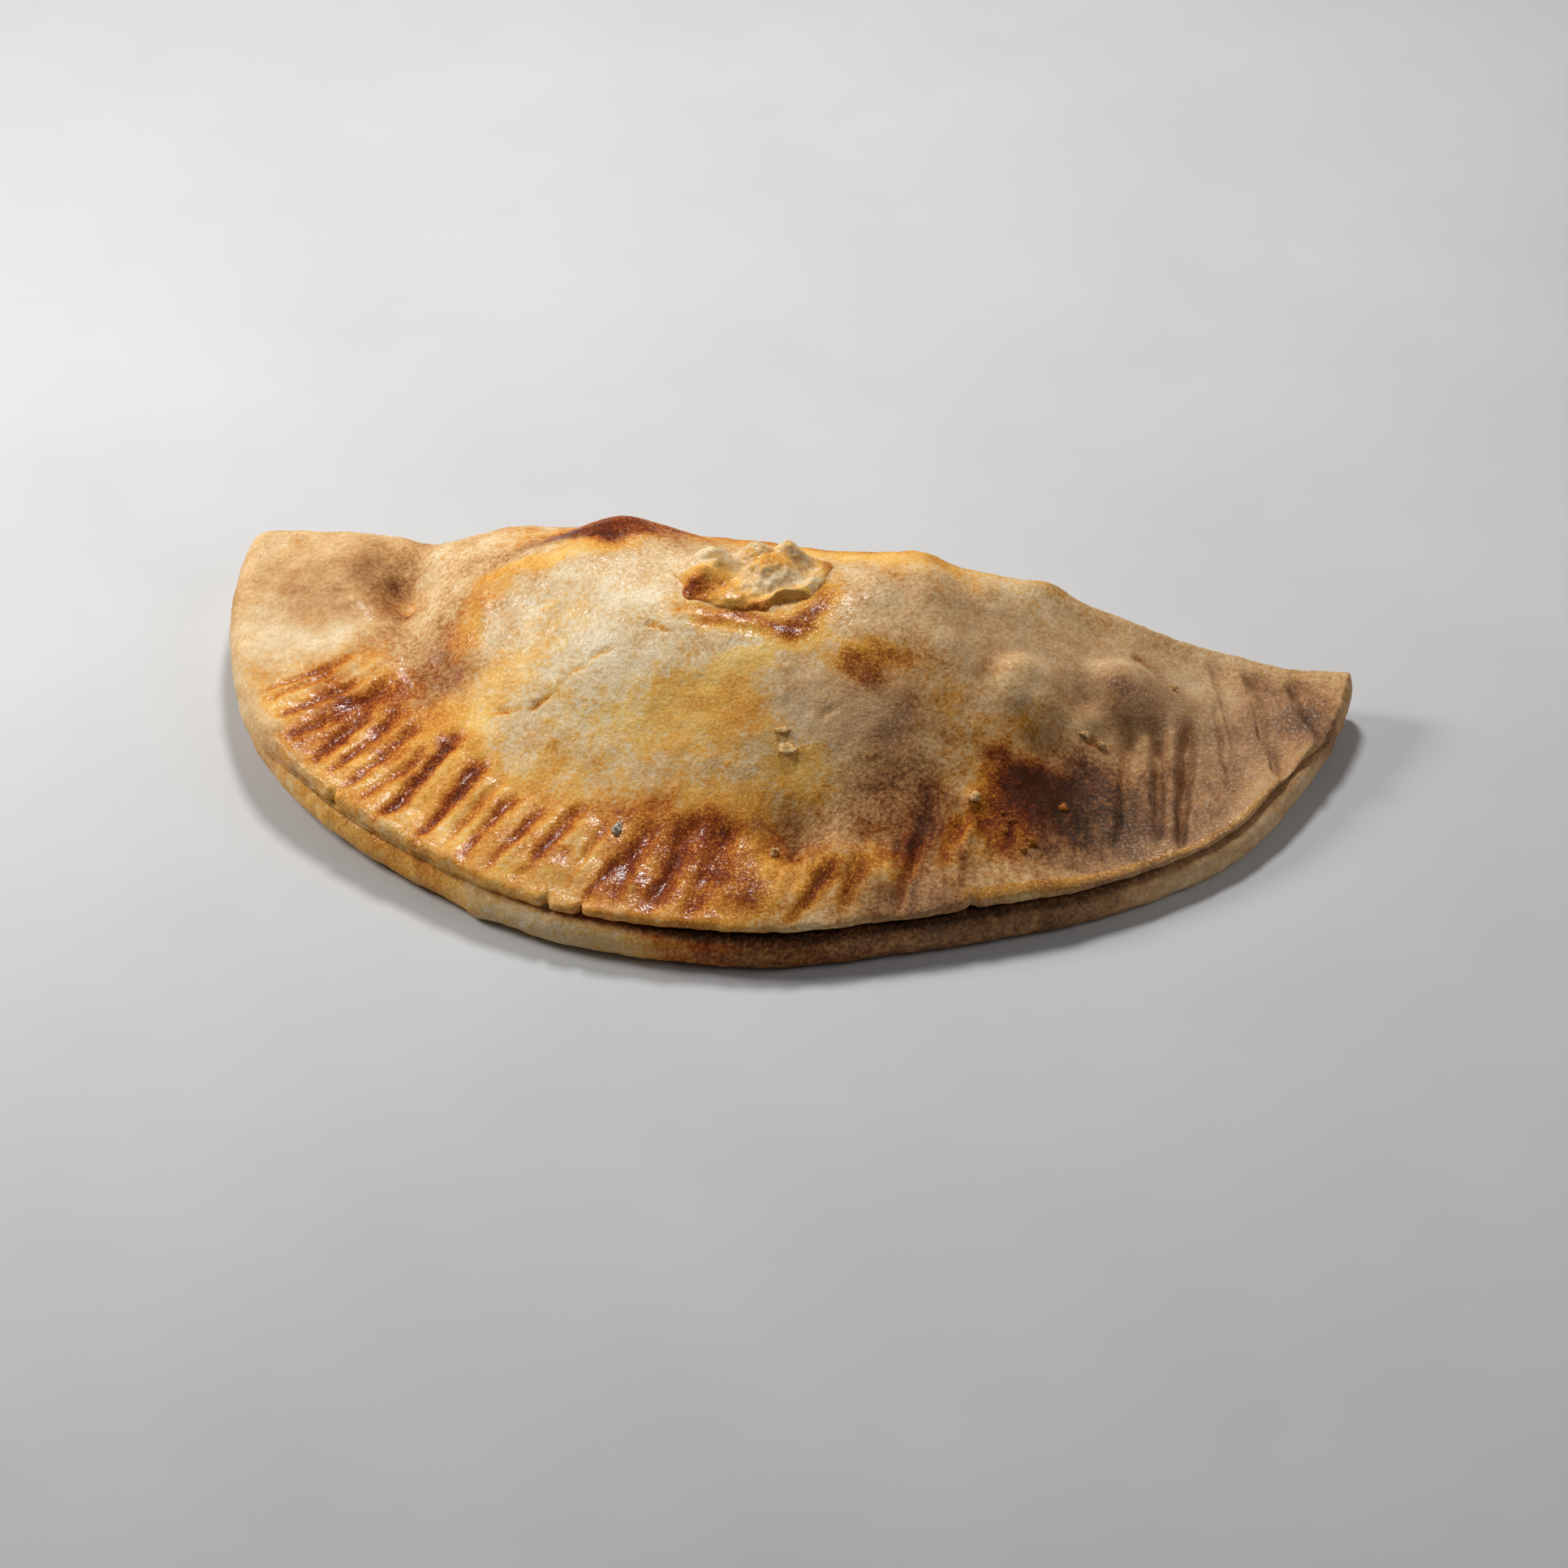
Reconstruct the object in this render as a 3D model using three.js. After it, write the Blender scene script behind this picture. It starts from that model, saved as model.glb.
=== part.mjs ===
// A baked empanada: one disc of dough folded over its filling, with its two edges pressed
// together by a fork, and a small scrap of dough stuck on top of the filled dome.
//
// Millimetres, +Z up. The shape is worked out in the fold's frame: the fold runs along X at
// y = 0, the crimped rim faces -Y and the table is z = 0. The finished group is then moved so
// that the middle of its footprint is the origin.

import * as THREE from "three";

const { sin, cos, sqrt, exp, atan2, hypot, max, PI } = Math;
const { clamp, lerp, smoothstep, degToRad, radToDeg } = THREE.MathUtils;

// Plan of the pastry
const HALF_LENGTH = 70; // middle of the fold to either tip
const DEPTH = 63; // fold to the front of the crimped rim
const LEAN = 0.08; // share by which the rim swells to the left and draws in to the right
const BACK_BULGE = 2.5; // how far the stuffed part of the fold stands out behind the tips
const BULGE_SPAN = { from: -50, full: -16, fullTo: 12, to: 52 };
const CORNER_LEFT = 5; // plan radius of the left tip
const CORNER_RIGHT = 1; // plan radius of the right tip
const CENTRE = new THREE.Vector2(-2, -27); // the rings of the plan shrink towards this point
const SPINE = 0.65; // share of the length that the rings keep while they narrow
const RIM_WAVER = 0.8; // how far the hand-cut rim wanders in and out
const RIM_WAVES = [
  { count: 6, start: 4.1, share: 1 },
  { count: 13, start: 2, share: 0.4 },
];
// Where the rim swells or draws in: degrees round from the left tip, half width and distance
const RIM_SWELLS = [
  { at: 33, half: 9, out: 0.9 },
  { at: 122, half: 7, out: -0.5 },
  { at: 148, half: 12, out: 1.2 },
];

// Heights of the pastry
const RIM_HEIGHT = 7; // two layers of dough
const EDGE_HEIGHT = 3.5; // where a plain edge stands out furthest
const EDGE_ROUND = { left: 3, right: 0.8 }; // plan width of the round of a plain edge
const FLANGE_SLOPE = 2; // rise of the pressed flange towards the filling
const SLOPE_SPAN = { from: 3, to: 17 }; // where it rises, measured in from the rim
const DOME_HEIGHT = 14; // filling above the flange
const FOLD_RISE = 4; // how much higher the stuffed fold bulges out than the flat tips
const FOLD_ROUND = 24; // plan width of the round from the stuffed fold up to the crest
const FOLD_UNDERCUT = 9; // plan width of the round from the stuffed fold down to the table
const FILLING_SPAN = { from: -50, full: -39, fullTo: -4, to: 54 }; // along the fold
const LEFT_TIP = { lift: 2, start: -28 }; // the left tip curls up off the table
const RIGHT_TIP = { lift: 1.6, start: 58 }; // and so does the right one
const RIGHT_THIN = { by: 1.8, from: 26, to: 56 }; // the rim gets thinner to the right
const WAVE_HEIGHT = 0.3; // slow unevenness of the baked skin
const SKIN_WAVES = [
  { perX: 0.21, perY: 0.13, start: 0.5, share: 1 },
  { perX: 0.17, perY: -0.29, start: 2, share: 0.7 },
  { perX: 0.43, perY: 0.31, start: 4, share: 0.5 },
];
const WAVES_OFF_RIM = 6; // the waves come in over this far from the rim
const RELIEF_OFF_FOLD = 5; // and all the relief over this far from the fold

// Where the dome starts, measured in from the rim, and how far it takes to rise
const FLANGE = 13.5;
const FLANGE_LEFT = 21;
const FLANGE_RIGHT = 15.5;
const DOME_RISE = 28;
const LEFT_STEEPER = 0.4; // share by which the rise is shorter at the left end
const RIGHT_GENTLER = 0.5; // and longer at the right end
const SIDE_SECTOR = 0.38; // share of the half-turn round the fold's middle that each end takes
const DOME_EASE = 1.5; // above 1, the foot of the dome is hollowed

// The rim's section in front: two rounded lips, one over the other, with a seam between them
const LOWER_LIP = { round: 1.9, height: 1.9, half: 1.9, from: -90, to: 70 };
const UPPER_LIP = { round: 1.2, height: 5.5, half: 1.5, from: -50, to: 90 };
const SEAM = { inset: 2.2, height: 3.9 }; // its depth in from the upper lip
// Set back of the upper lip from the lower one, and thickness of the lower lip, by degrees round
// from the left tip
const LIPS_ROUND = [
  { at: 30, back: 0.3, thick: 0.6 },
  { at: 98, back: 2.3, thick: 1.15 },
  { at: 150, back: 2.1, thick: 1 },
];
const LIPS_SPAN = { from: 26, full: 42, fullTo: 160, to: 174 }; // degrees round from the left tip

// Each press of the fork on the flange: its middle, its heading from the rim to the filling in
// degrees, its tines and their spacing, the marks' length, and the first and last mark's depth
const FORK_PRESSES = [
  { x: -53.3, y: -33.5, heading: 48, tines: 3, pitch: 4.0, length: 13, depth: [0.7, 1.2] },
  { x: -45.5, y: -41.0, heading: 65, tines: 3, pitch: 4.3, length: 12, depth: [1.7, 1.2] },
  { x: -32.8, y: -48.4, heading: 67, tines: 3, pitch: 5.7, length: 12, depth: [1.6, 1.2] },
  { x: -16.9, y: -53.3, heading: 66, tines: 4, pitch: 4.2, length: 10, depth: [1.1, 1.4] },
  { x: -3.7, y: -54.8, heading: 81, tines: 3, pitch: 4.9, length: 14, depth: [1.5, 1.7] },
  { x: 17.8, y: -52.2, heading: 78, tines: 3, pitch: 4.7, length: 11, depth: [0.7, 0.5] },
  { x: 30.0, y: -44.5, heading: 80, tines: 2, pitch: 5.0, length: 9, depth: [0.7, 0.5] },
  { x: 50.0, y: -27.8, heading: 98, tines: 3, pitch: 3.7, length: 18, depth: [0.5, 1.5] },
  { x: 61.5, y: -12.0, heading: 119, tines: 3, pitch: 3.8, length: 14, depth: [0.5, 0.7] },
];
const TINE_HALF_WIDTH = 1.3;
const OUTER_DEPTH = 0.6; // depth of a mark at its rim end, as a share of its inner end
const MARK_RIM_END = { from: -2, full: 4 }; // how a mark fades in, past its rim end
const MARK_INNER_END = { fullTo: -2, to: 1 }; // and out, past its inner end
const MARKS_OFF_RIM = { from: 0.5, to: 4 }; // the marks come in over this far from the rim

// Lumps and hollows of the skin: place, radius and height
const BUMPS = [
  { x: -21.0, y: -6.5, radius: 5.0, height: 1.8 }, // knob over the fold
  { x: 16.5, y: -5.0, radius: 3.5, height: 0.9 }, // small lumps along the crest
  { x: 32.5, y: -3.5, radius: 3.0, height: 0.9 },
  { x: 33.8, y: -21.9, radius: 4.8, height: 2.2 }, // blisters at the right end of the dome
  { x: 44.5, y: -15.5, radius: 4.8, height: 2.0 },
  { x: 40.8, y: -21.2, radius: 1.6, height: 0.9 },
  { x: 6.4, y: -38.8, radius: 1.3, height: 0.6 },
  { x: 9.5, y: -47.0, radius: 4.5, height: -1.2 }, // hollow at the foot of the dome
  { x: 16.0, y: -50.5, radius: 3.5, height: 0.8 },
  { x: -31.0, y: -8.0, radius: 7.0, height: -1.8 }, // dip between the dome's shoulder and the knob
  { x: 25.0, y: -4.0, radius: 5.0, height: -0.8 }, // and on either side of the right lump
  { x: 39.0, y: -4.0, radius: 5.0, height: -1.2 },
  { x: -57.0, y: -12.0, radius: 9.0, height: 1.2 }, // the left tip is puffed
  { x: -46.5, y: -13.0, radius: 4.5, height: -1.2 }, // and sinks where it meets the dome
];

// The scrap of dough on top
const PATCH = { x: -2.4, y: -16.4, halfWidth: 10.0, halfDepth: 7.2, turn: 20, thickness: 1.8 };
const PATCH_GAP = 0.3; // clearance over the dome
const PATCH_TEAR = [
  { count: 3, start: 0.8, share: 0.05 },
  { count: 7, start: 1, share: 0.04 },
  { count: 11, start: 0, share: 0.02 },
];
// Its rings from below: share of the outline, share of the thickness, and every how many points
const PATCH_RINGS = [
  { share: 0.35, height: 0, every: 2 },
  { share: 0.7, height: 0, every: 2 },
  { share: 0.93, height: 0, every: 1 },
  { share: 1, height: 0.3, every: 1 },
  { share: 1, height: 0.6, every: 1 },
  { share: 0.95, height: 0.9, every: 1 },
  { share: 0.86, height: 1, every: 1 },
  { share: 0.72, height: 0.9, every: 1 },
  { share: 0.5, height: 0.85, every: 2 },
  { share: 0.25, height: 0.85, every: 2 },
];
const PATCH_MIDDLE = 0.85; // share of the thickness in the middle
const PATCH_LUMPS = [
  { x: 2.0, y: 2.5, radius: 3.4, height: 1.2 }, // middle
  { x: 7.2, y: 0.5, radius: 2.4, height: 0.9 }, // right and left ends
  { x: -7.6, y: 0.8, radius: 2.2, height: 0.9 },
  { x: 5.5, y: 5.2, radius: 2.0, height: 0.9 }, // far edge
  { x: -3.5, y: 4.6, radius: 2.2, height: 0.8 },
  { x: -6.8, y: -3.4, radius: 1.8, height: -0.7 }, // hollow at the near left
];

// How finely the solids are faceted
const FRONT_STEPS = 160;
const RIGHT_CORNER_STEPS = 3;
const BACK_STEPS = 72;
const LEFT_CORNER_STEPS = 5;
const LIP_STEPS = { lower: 4, upper: 3 };
const TOP_RINGS = [
  { every: 1, shares: [0.94, 0.87, 0.8, 0.73, 0.66, 0.59, 0.52, 0.45, 0.38] },
  { every: 2, shares: [0.3, 0.22, 0.15] },
  { every: 4, shares: [0.09, 0.04] },
];
const UNDERSIDE_RINGS = [
  { every: 4, shares: [0.45] },
  { every: 2, shares: [0.75] },
];
const PATCH_STEPS = 48;
const TINY = 1e-6; // keeps a division off zero

// Surfaces
const CRUST = { color: "#c2915c", roughness: 0.6, metalness: 0 };
const PATCH_DOUGH = { color: "#cfa66c", roughness: 0.55, metalness: 0 };

// Plan curves

// 1 between full and fullTo, falling smoothly to 0 at from and to
function plateau(x, { from, full, fullTo, to }) {
  return smoothstep(x, from, full) * (1 - smoothstep(x, fullTo, to));
}

// Sum of a few sines of one angle
function ripple(ripples, angle) {
  return ripples.reduce((sum, { count, start, share }) => sum + share * sin(count * angle + start), 0);
}

function foldY(x) {
  return BACK_BULGE * plateau(x, BULGE_SPAN);
}

function frontRim(phi) {
  const corner = lerp(CORNER_LEFT, CORNER_RIGHT, (1 + cos(phi)) / 2);
  const waver = RIM_WAVER * sin(phi) * ripple(RIM_WAVES, phi);
  const reach = (DEPTH - corner) * (1 - LEAN * cos(phi)) + waver;
  const swell = RIM_SWELLS.reduce((sum, { at, half, out }) => {
    return sum + out * exp(-(((180 - radToDeg(phi) - at) / half) ** 2));
  }, 0);
  return new THREE.Vector2((HALF_LENGTH + swell) * cos(phi), -corner - (reach + swell) * sin(phi));
}

// Distance in from the front rim, along the line to the middle of the fold
function rimGap(x, y) {
  const depth = DEPTH * (1 - LEAN * clamp(x / HALF_LENGTH, -1, 1));
  const share = hypot(x / HALF_LENGTH, y / depth) + TINY;
  return hypot(x, y) * (1 / share - 1);
}

// 1 where the fold is stuffed, 0 on the flat tips
function stuffed(x) {
  return plateau(x, FILLING_SPAN);
}

function quarterRound(share) {
  return sqrt(1 - (1 - clamp(share, 0, 1)) ** 2);
}

// Heights

function lift(x) {
  const left = LEFT_TIP.lift * (1 - smoothstep(x, -HALF_LENGTH, LEFT_TIP.start));
  return left + RIGHT_TIP.lift * smoothstep(x, RIGHT_TIP.start, HALF_LENGTH);
}

function edgeRound(x) {
  return lerp(EDGE_ROUND.left, EDGE_ROUND.right, smoothstep(x, -HALF_LENGTH, HALF_LENGTH));
}

function rimHeight(x) {
  return RIM_HEIGHT - RIGHT_THIN.by * smoothstep(x, RIGHT_THIN.from, RIGHT_THIN.to);
}

// Height at which the edge stands out furthest
function edgeHeight(x) {
  return (EDGE_HEIGHT * rimHeight(x)) / RIM_HEIGHT + FOLD_RISE * stuffed(x);
}

function dome(x, y) {
  const side = atan2(-y, x) / PI;
  const left = smoothstep(side, 1 - SIDE_SECTOR, 1);
  const right = 1 - smoothstep(side, 0, SIDE_SECTOR);
  const flange = FLANGE + (FLANGE_LEFT - FLANGE) * left + (FLANGE_RIGHT - FLANGE) * right;
  const rise = DOME_RISE * (1 + RIGHT_GENTLER * right - LEFT_STEEPER * left);
  const up = clamp((rimGap(x, y) - flange) / rise, 0, 1);
  return DOME_HEIGHT * sin((up * PI) / 2) ** DOME_EASE;
}

function forkMarks(x, y) {
  let depth = 0;
  for (const press of FORK_PRESSES) {
    const heading = degToRad(press.heading);
    const dx = x - press.x;
    const dy = y - press.y;
    const along = dx * cos(heading) + dy * sin(heading);
    const across = dx * sin(heading) - dy * cos(heading);
    const half = press.length / 2;
    const ends = plateau(along, {
      from: -half + MARK_RIM_END.from,
      full: -half + MARK_RIM_END.full,
      fullTo: half + MARK_INNER_END.fullTo,
      to: half + MARK_INNER_END.to,
    });
    const inner = lerp(OUTER_DEPTH, 1, smoothstep(along, -half, half));
    for (let tine = 0; tine < press.tines; tine += 1) {
      const off = across - (tine - (press.tines - 1) / 2) * press.pitch;
      const mark = lerp(press.depth[0], press.depth[1], tine / (press.tines - 1));
      depth += mark * ends * inner * exp(-((off / TINE_HALF_WIDTH) ** 2));
    }
  }
  return depth;
}

function bumpsAt(bumps, x, y) {
  return bumps.reduce((sum, bump) => {
    const away = hypot(x - bump.x, y - bump.y) / bump.radius;
    return sum + bump.height * exp(-away * away);
  }, 0);
}

function waves(x, y) {
  return SKIN_WAVES.reduce((sum, { perX, perY, start, share }) => {
    return sum + WAVE_HEIGHT * share * sin(perX * x + perY * y + start);
  }, 0);
}

function topHeight(x, y) {
  const gap = rimGap(x, y);
  const flange = rimHeight(x) + FLANGE_SLOPE * smoothstep(gap, SLOPE_SPAN.from, SLOPE_SPAN.to);
  const crest = flange + dome(x, y);
  const edge = edgeHeight(x);
  const foldRound = lerp(edgeRound(x), FOLD_ROUND, stuffed(x));
  const fold = quarterRound((foldY(x) - y) / foldRound);
  const offFold = smoothstep(foldY(x) - y, 0, RELIEF_OFF_FOLD);
  const skin = bumpsAt(BUMPS, x, y) + waves(x, y) * smoothstep(gap, 0, WAVES_OFF_RIM);
  const pressed = forkMarks(x, y) * smoothstep(gap, MARKS_OFF_RIM.from, MARKS_OFF_RIM.to);
  return lift(x) + edge + (crest - edge) * fold + (skin - pressed) * offFold;
}

// Rings of the plan: they narrow first and shorten later, so that the inner ones are long and slim
function shrink(plan, share) {
  const along = SPINE * (1 - (1 - share) ** 3) + (1 - SPINE) * share;
  return new THREE.Vector2(lerp(CENTRE.x, plan.x, along), lerp(CENTRE.y, plan.y, share));
}

// Each point of the outline, counter-clockwise, and what its edge is like: rim is 1 on the open
// edge and 0 along the fold, and lips is 1 where the two layers show
function outlinePoints() {
  const points = [];
  for (let i = 0; i < FRONT_STEPS; i += 1) {
    const phi = PI * (1 - i / FRONT_STEPS);
    const fromLeft = 180 - radToDeg(phi);
    points.push({ plan: frontRim(phi), rim: 1, lips: plateau(fromLeft, LIPS_SPAN), fromLeft });
  }
  for (let i = 0; i < RIGHT_CORNER_STEPS; i += 1) {
    const turn = (PI / 2) * (i / RIGHT_CORNER_STEPS);
    const x = HALF_LENGTH - CORNER_RIGHT * (1 - cos(turn));
    const y = -CORNER_RIGHT * (1 - sin(turn));
    points.push({ plan: new THREE.Vector2(x, y), rim: cos(turn) ** 2, lips: 0, fromLeft: 180 });
  }
  for (let i = 0; i < BACK_STEPS; i += 1) {
    const x = lerp(HALF_LENGTH - CORNER_RIGHT, CORNER_LEFT - HALF_LENGTH, i / BACK_STEPS);
    points.push({ plan: new THREE.Vector2(x, foldY(x)), rim: 0, lips: 0, fromLeft: 180 });
  }
  for (let i = 0; i < LEFT_CORNER_STEPS; i += 1) {
    const turn = (PI / 2) * (i / LEFT_CORNER_STEPS);
    const x = -HALF_LENGTH + CORNER_LEFT * (1 - sin(turn));
    const y = -CORNER_LEFT * (1 - cos(turn));
    points.push({ plan: new THREE.Vector2(x, y), rim: sin(turn) ** 2, lips: 0, fromLeft: 0 });
  }
  return points;
}

// Adds to each outline point the step inwards that counts 1 mm square to the edge
function planRays() {
  const points = outlinePoints();
  return points.map((point, i) => {
    const before = points.at(i - 1).plan;
    const after = points[(i + 1) % points.length].plan;
    const along = after.clone().sub(before).normalize();
    const inward = CENTRE.clone().sub(point.plan);
    inward.x *= 1 - SPINE;
    const square = along.x * inward.y - along.y * inward.x;
    return { ...point, inward: inward.divideScalar(square) };
  });
}

// The rim's section as rows of inset and height, from the underside up
function lipSection() {
  const arc = (lip, steps, upper) =>
    Array.from({ length: steps + 1 }, (_, i) => {
      const turn = degToRad(lerp(lip.from, lip.to, i / steps));
      return { inset: lip.round * (1 - cos(turn)), height: lip.height + lip.half * sin(turn), upper };
    });
  const lower = arc(LOWER_LIP, LIP_STEPS.lower, false);
  return [...lower, { ...SEAM, upper: true }, ...arc(UPPER_LIP, LIP_STEPS.upper, true)];
}

// How the lips stand at some place round the rim
function lipsAt(fromLeft) {
  const [left, front, right] = LIPS_ROUND;
  const toFront = smoothstep(fromLeft, left.at, front.at);
  const toRight = smoothstep(fromLeft, front.at, right.at);
  return {
    back: lerp(lerp(left.back, front.back, toFront), right.back, toRight),
    thick: lerp(lerp(left.thick, front.thick, toFront), right.thick, toRight),
  };
}

// One point of the edge: a plain round along the fold and the tips, lips along the front
function edgePoint(ray, turn, lip) {
  const { back, thick } = lipsAt(ray.fromLeft);
  const round = edgeRound(ray.plan.x);
  const under = lerp(round, FOLD_UNDERCUT, stuffed(ray.plan.x) * (1 - ray.rim));
  const plainInset = (turn < 0 ? under : round) * (1 - cos(turn));
  const inset = lerp(plainInset, lip.inset + (lip.upper ? back : 0), ray.lips);
  const plan = ray.plan.clone().addScaledVector(ray.inward, inset);
  const floor = lift(plan.x);
  const edge = edgeHeight(plan.x);
  const top = topHeight(plan.x, plan.y) - floor;
  const upper = edge + (top - edge) * lerp(1, sin(turn), ray.rim);
  const plain = turn < 0 ? edge * (1 + sin(turn)) : upper;
  const seam = SEAM.height * thick;
  const share = (lip.height - SEAM.height) / (RIM_HEIGHT - SEAM.height);
  const lipped = share < 0 ? lip.height * thick : lerp(seam, top, share);
  return new THREE.Vector3(plan.x, plan.y, floor + lerp(plain, lipped, ray.lips));
}

// Solids from rings: a stack of closed rings, counter-clockwise from above, from the point
// under the solid to the point on top of it. A ring may have half as many points as its
// neighbour, and a single point is a ring of one.
function ringSolid(rings) {
  const corners = rings.flat();
  const triangles = [];
  let base = 0;
  for (let k = 0; k + 1 < rings.length; k += 1) {
    const low = rings[k].length;
    const high = rings[k + 1].length;
    const steps = max(low, high);
    for (let i = 0; i < steps; i += 1) {
      const a = base + Math.floor((i * low) / steps);
      const b = base + (Math.floor(((i + 1) * low) / steps) % low);
      const c = base + low + (Math.floor(((i + 1) * high) / steps) % high);
      const d = base + low + Math.floor((i * high) / steps);
      if (a !== b) triangles.push(a, b, c);
      if (c !== d) triangles.push(a, c, d);
    }
    base += low;
  }
  const geometry = new THREE.BufferGeometry().setFromPoints(corners);
  geometry.setIndex(triangles);
  geometry.computeVertexNormals();
  return geometry;
}

function pastryGeometry() {
  const rays = planRays();
  const section = lipSection();
  const edge = section.map((lip, k) => {
    const turn = lerp(-PI / 2, PI / 2, k / (section.length - 1));
    return rays.map((ray) => edgePoint(ray, turn, lip));
  });
  const inner = (outer, { every, shares }, height) =>
    shares.map((share) =>
      outer
        .filter((_, i) => i % every === 0)
        .map((corner) => {
          const plan = shrink(corner, share);
          return new THREE.Vector3(plan.x, plan.y, height(plan.x, plan.y));
        }),
    );
  const underside = UNDERSIDE_RINGS.flatMap((rows) => inner(edge[0], rows, lift));
  const top = TOP_RINGS.flatMap((rows) => inner(edge.at(-1), rows, topHeight));
  const footPoint = [new THREE.Vector3(CENTRE.x, CENTRE.y, 0)];
  const topPoint = [new THREE.Vector3(CENTRE.x, CENTRE.y, topHeight(CENTRE.x, CENTRE.y))];
  return ringSolid([footPoint, ...underside, ...edge, ...top, topPoint]);
}

// The scrap follows the dome below it and has a torn, lobed outline
function patchGeometry() {
  const turn = degToRad(PATCH.turn);
  const corner = (share, angle, height) => {
    const torn = 1 + ripple(PATCH_TEAR, angle);
    const u = share * torn * PATCH.halfWidth * cos(angle);
    const v = share * torn * PATCH.halfDepth * sin(angle);
    const x = PATCH.x + u * cos(turn) - v * sin(turn);
    const y = PATCH.y + u * sin(turn) + v * cos(turn);
    const lumps = bumpsAt(PATCH_LUMPS, u, v);
    const thickness = height * (PATCH.thickness + lumps);
    return new THREE.Vector3(x, y, topHeight(x, y) + PATCH_GAP + thickness);
  };
  const ring = ({ share, height, every }) => {
    const steps = PATCH_STEPS / every;
    return Array.from({ length: steps }, (_, i) => corner(share, (2 * PI * i) / steps, height));
  };
  return ringSolid([[corner(0, 0, 0)], ...PATCH_RINGS.map(ring), [corner(0, 0, PATCH_MIDDLE)]]);
}

function namedMesh(name, geometry, surface) {
  const mesh = new THREE.Mesh(geometry, new THREE.MeshStandardMaterial(surface));
  mesh.name = name;
  return mesh;
}

const empanada = new THREE.Group();
empanada.add(namedMesh("pastry", pastryGeometry(), CRUST));
empanada.add(namedMesh("dough_patch", patchGeometry(), PATCH_DOUGH));

const box = new THREE.Box3().setFromObject(empanada);
empanada.position.set(-(box.min.x + box.max.x) / 2, -(box.min.y + box.max.y) / 2, -box.min.z);

export default empanada;
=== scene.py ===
# Looks of a baked empanada: its folded crust, the scrap of dough on top, crumbs and beads of glaze.
#
# Shapes are worked out in millimetres in the fold's frame, as in the part's source: the fold runs
# along X at y = 0, the crimped rim faces -Y and the table is z = 0.

import math
from itertools import product
from typing import NamedTuple

import bmesh
import bpy
import numpy as np
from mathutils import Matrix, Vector


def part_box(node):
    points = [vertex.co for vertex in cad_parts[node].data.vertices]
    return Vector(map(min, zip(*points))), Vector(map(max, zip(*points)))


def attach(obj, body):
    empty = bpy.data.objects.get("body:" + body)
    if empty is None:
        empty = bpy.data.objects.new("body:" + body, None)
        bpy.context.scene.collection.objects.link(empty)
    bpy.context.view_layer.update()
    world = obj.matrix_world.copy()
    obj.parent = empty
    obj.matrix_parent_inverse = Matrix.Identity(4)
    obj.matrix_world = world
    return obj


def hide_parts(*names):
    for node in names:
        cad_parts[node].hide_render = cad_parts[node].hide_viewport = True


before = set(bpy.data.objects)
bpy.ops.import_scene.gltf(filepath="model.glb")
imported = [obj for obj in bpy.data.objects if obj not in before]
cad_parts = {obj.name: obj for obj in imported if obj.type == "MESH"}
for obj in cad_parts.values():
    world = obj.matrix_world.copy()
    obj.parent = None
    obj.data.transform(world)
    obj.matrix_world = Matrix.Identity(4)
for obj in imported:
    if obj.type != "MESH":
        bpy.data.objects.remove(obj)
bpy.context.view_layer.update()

MM = 0.001

# Plan of the pastry, which is deeper to the left by a share, and its back's bulge and corners
HALF_LENGTH = 70
DEPTH = 63
LEAN = 0.08
BACK_BULGE = 2.5
BULGE_SPAN = (-50, -16, 12, 52)
CORNER_LEFT = 5
CORNER_RIGHT = 1
# The point that the edge's rings draw in towards, and how much less they do so along X
CENTRE = np.array([-2, -27])
SPINE = 0.65
# How far the rim waves in and out, and its waves: how many in a whole turn, start and share
RIM_WAVER = 0.8
RIM_WAVES = ((6, 4.1, 1), (13, 2, 0.4))
# Where the rim swells or draws in: degrees round from the left tip, half width and distance
RIM_SWELLS = ((33, 9, 0.9), (122, 7, -0.5), (148, 12, 1.2))

# Heights of the pastry
RIM_HEIGHT = 7
EDGE_HEIGHT = 3.5
EDGE_ROUND_LEFT = 3
EDGE_ROUND_RIGHT = 0.8
FLANGE_SLOPE = 2
FLANGE_SLOPE_SPAN = (3, 17)
DOME_HEIGHT = 14
FOLD_RISE = 4
FOLD_ROUND = 24
FOLD_UNDERCUT = 9
FILLING_SPAN = (-50, -39, -4, 54)
LEFT_TIP_LIFT = 2
LEFT_LIFT_START = -28
RIGHT_TIP_LIFT = 1.6
RIGHT_LIFT_START = 58
RIGHT_THINNER = 1.8
RIGHT_THIN_SPAN = (26, 56)
# Low waves of the skin: share, radians per millimetre along X and Y, and start
WAVE_HEIGHT = 0.3
SKIN_WAVES = ((1, 0.21, 0.13, 0.5), (0.7, 0.17, -0.29, 2), (0.5, 0.43, 0.31, 4))
# Over what distance from the rim waves and fork marks come in, and all relief from the fold
WAVES_COME_IN = (0, 6)
MARKS_COME_IN = (0.5, 3.5)
RELIEF_COMES_IN = (0, 5)

# Where the dome starts, measured in from the rim, and how far it takes to rise
FLANGE = 13.5
FLANGE_LEFT = 21
FLANGE_RIGHT = 15.5
DOME_RISE = 28
LEFT_STEEPER = 0.4
RIGHT_GENTLER = 0.5
SIDE_SECTOR = 0.38
DOME_EASE = 1.5

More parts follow.
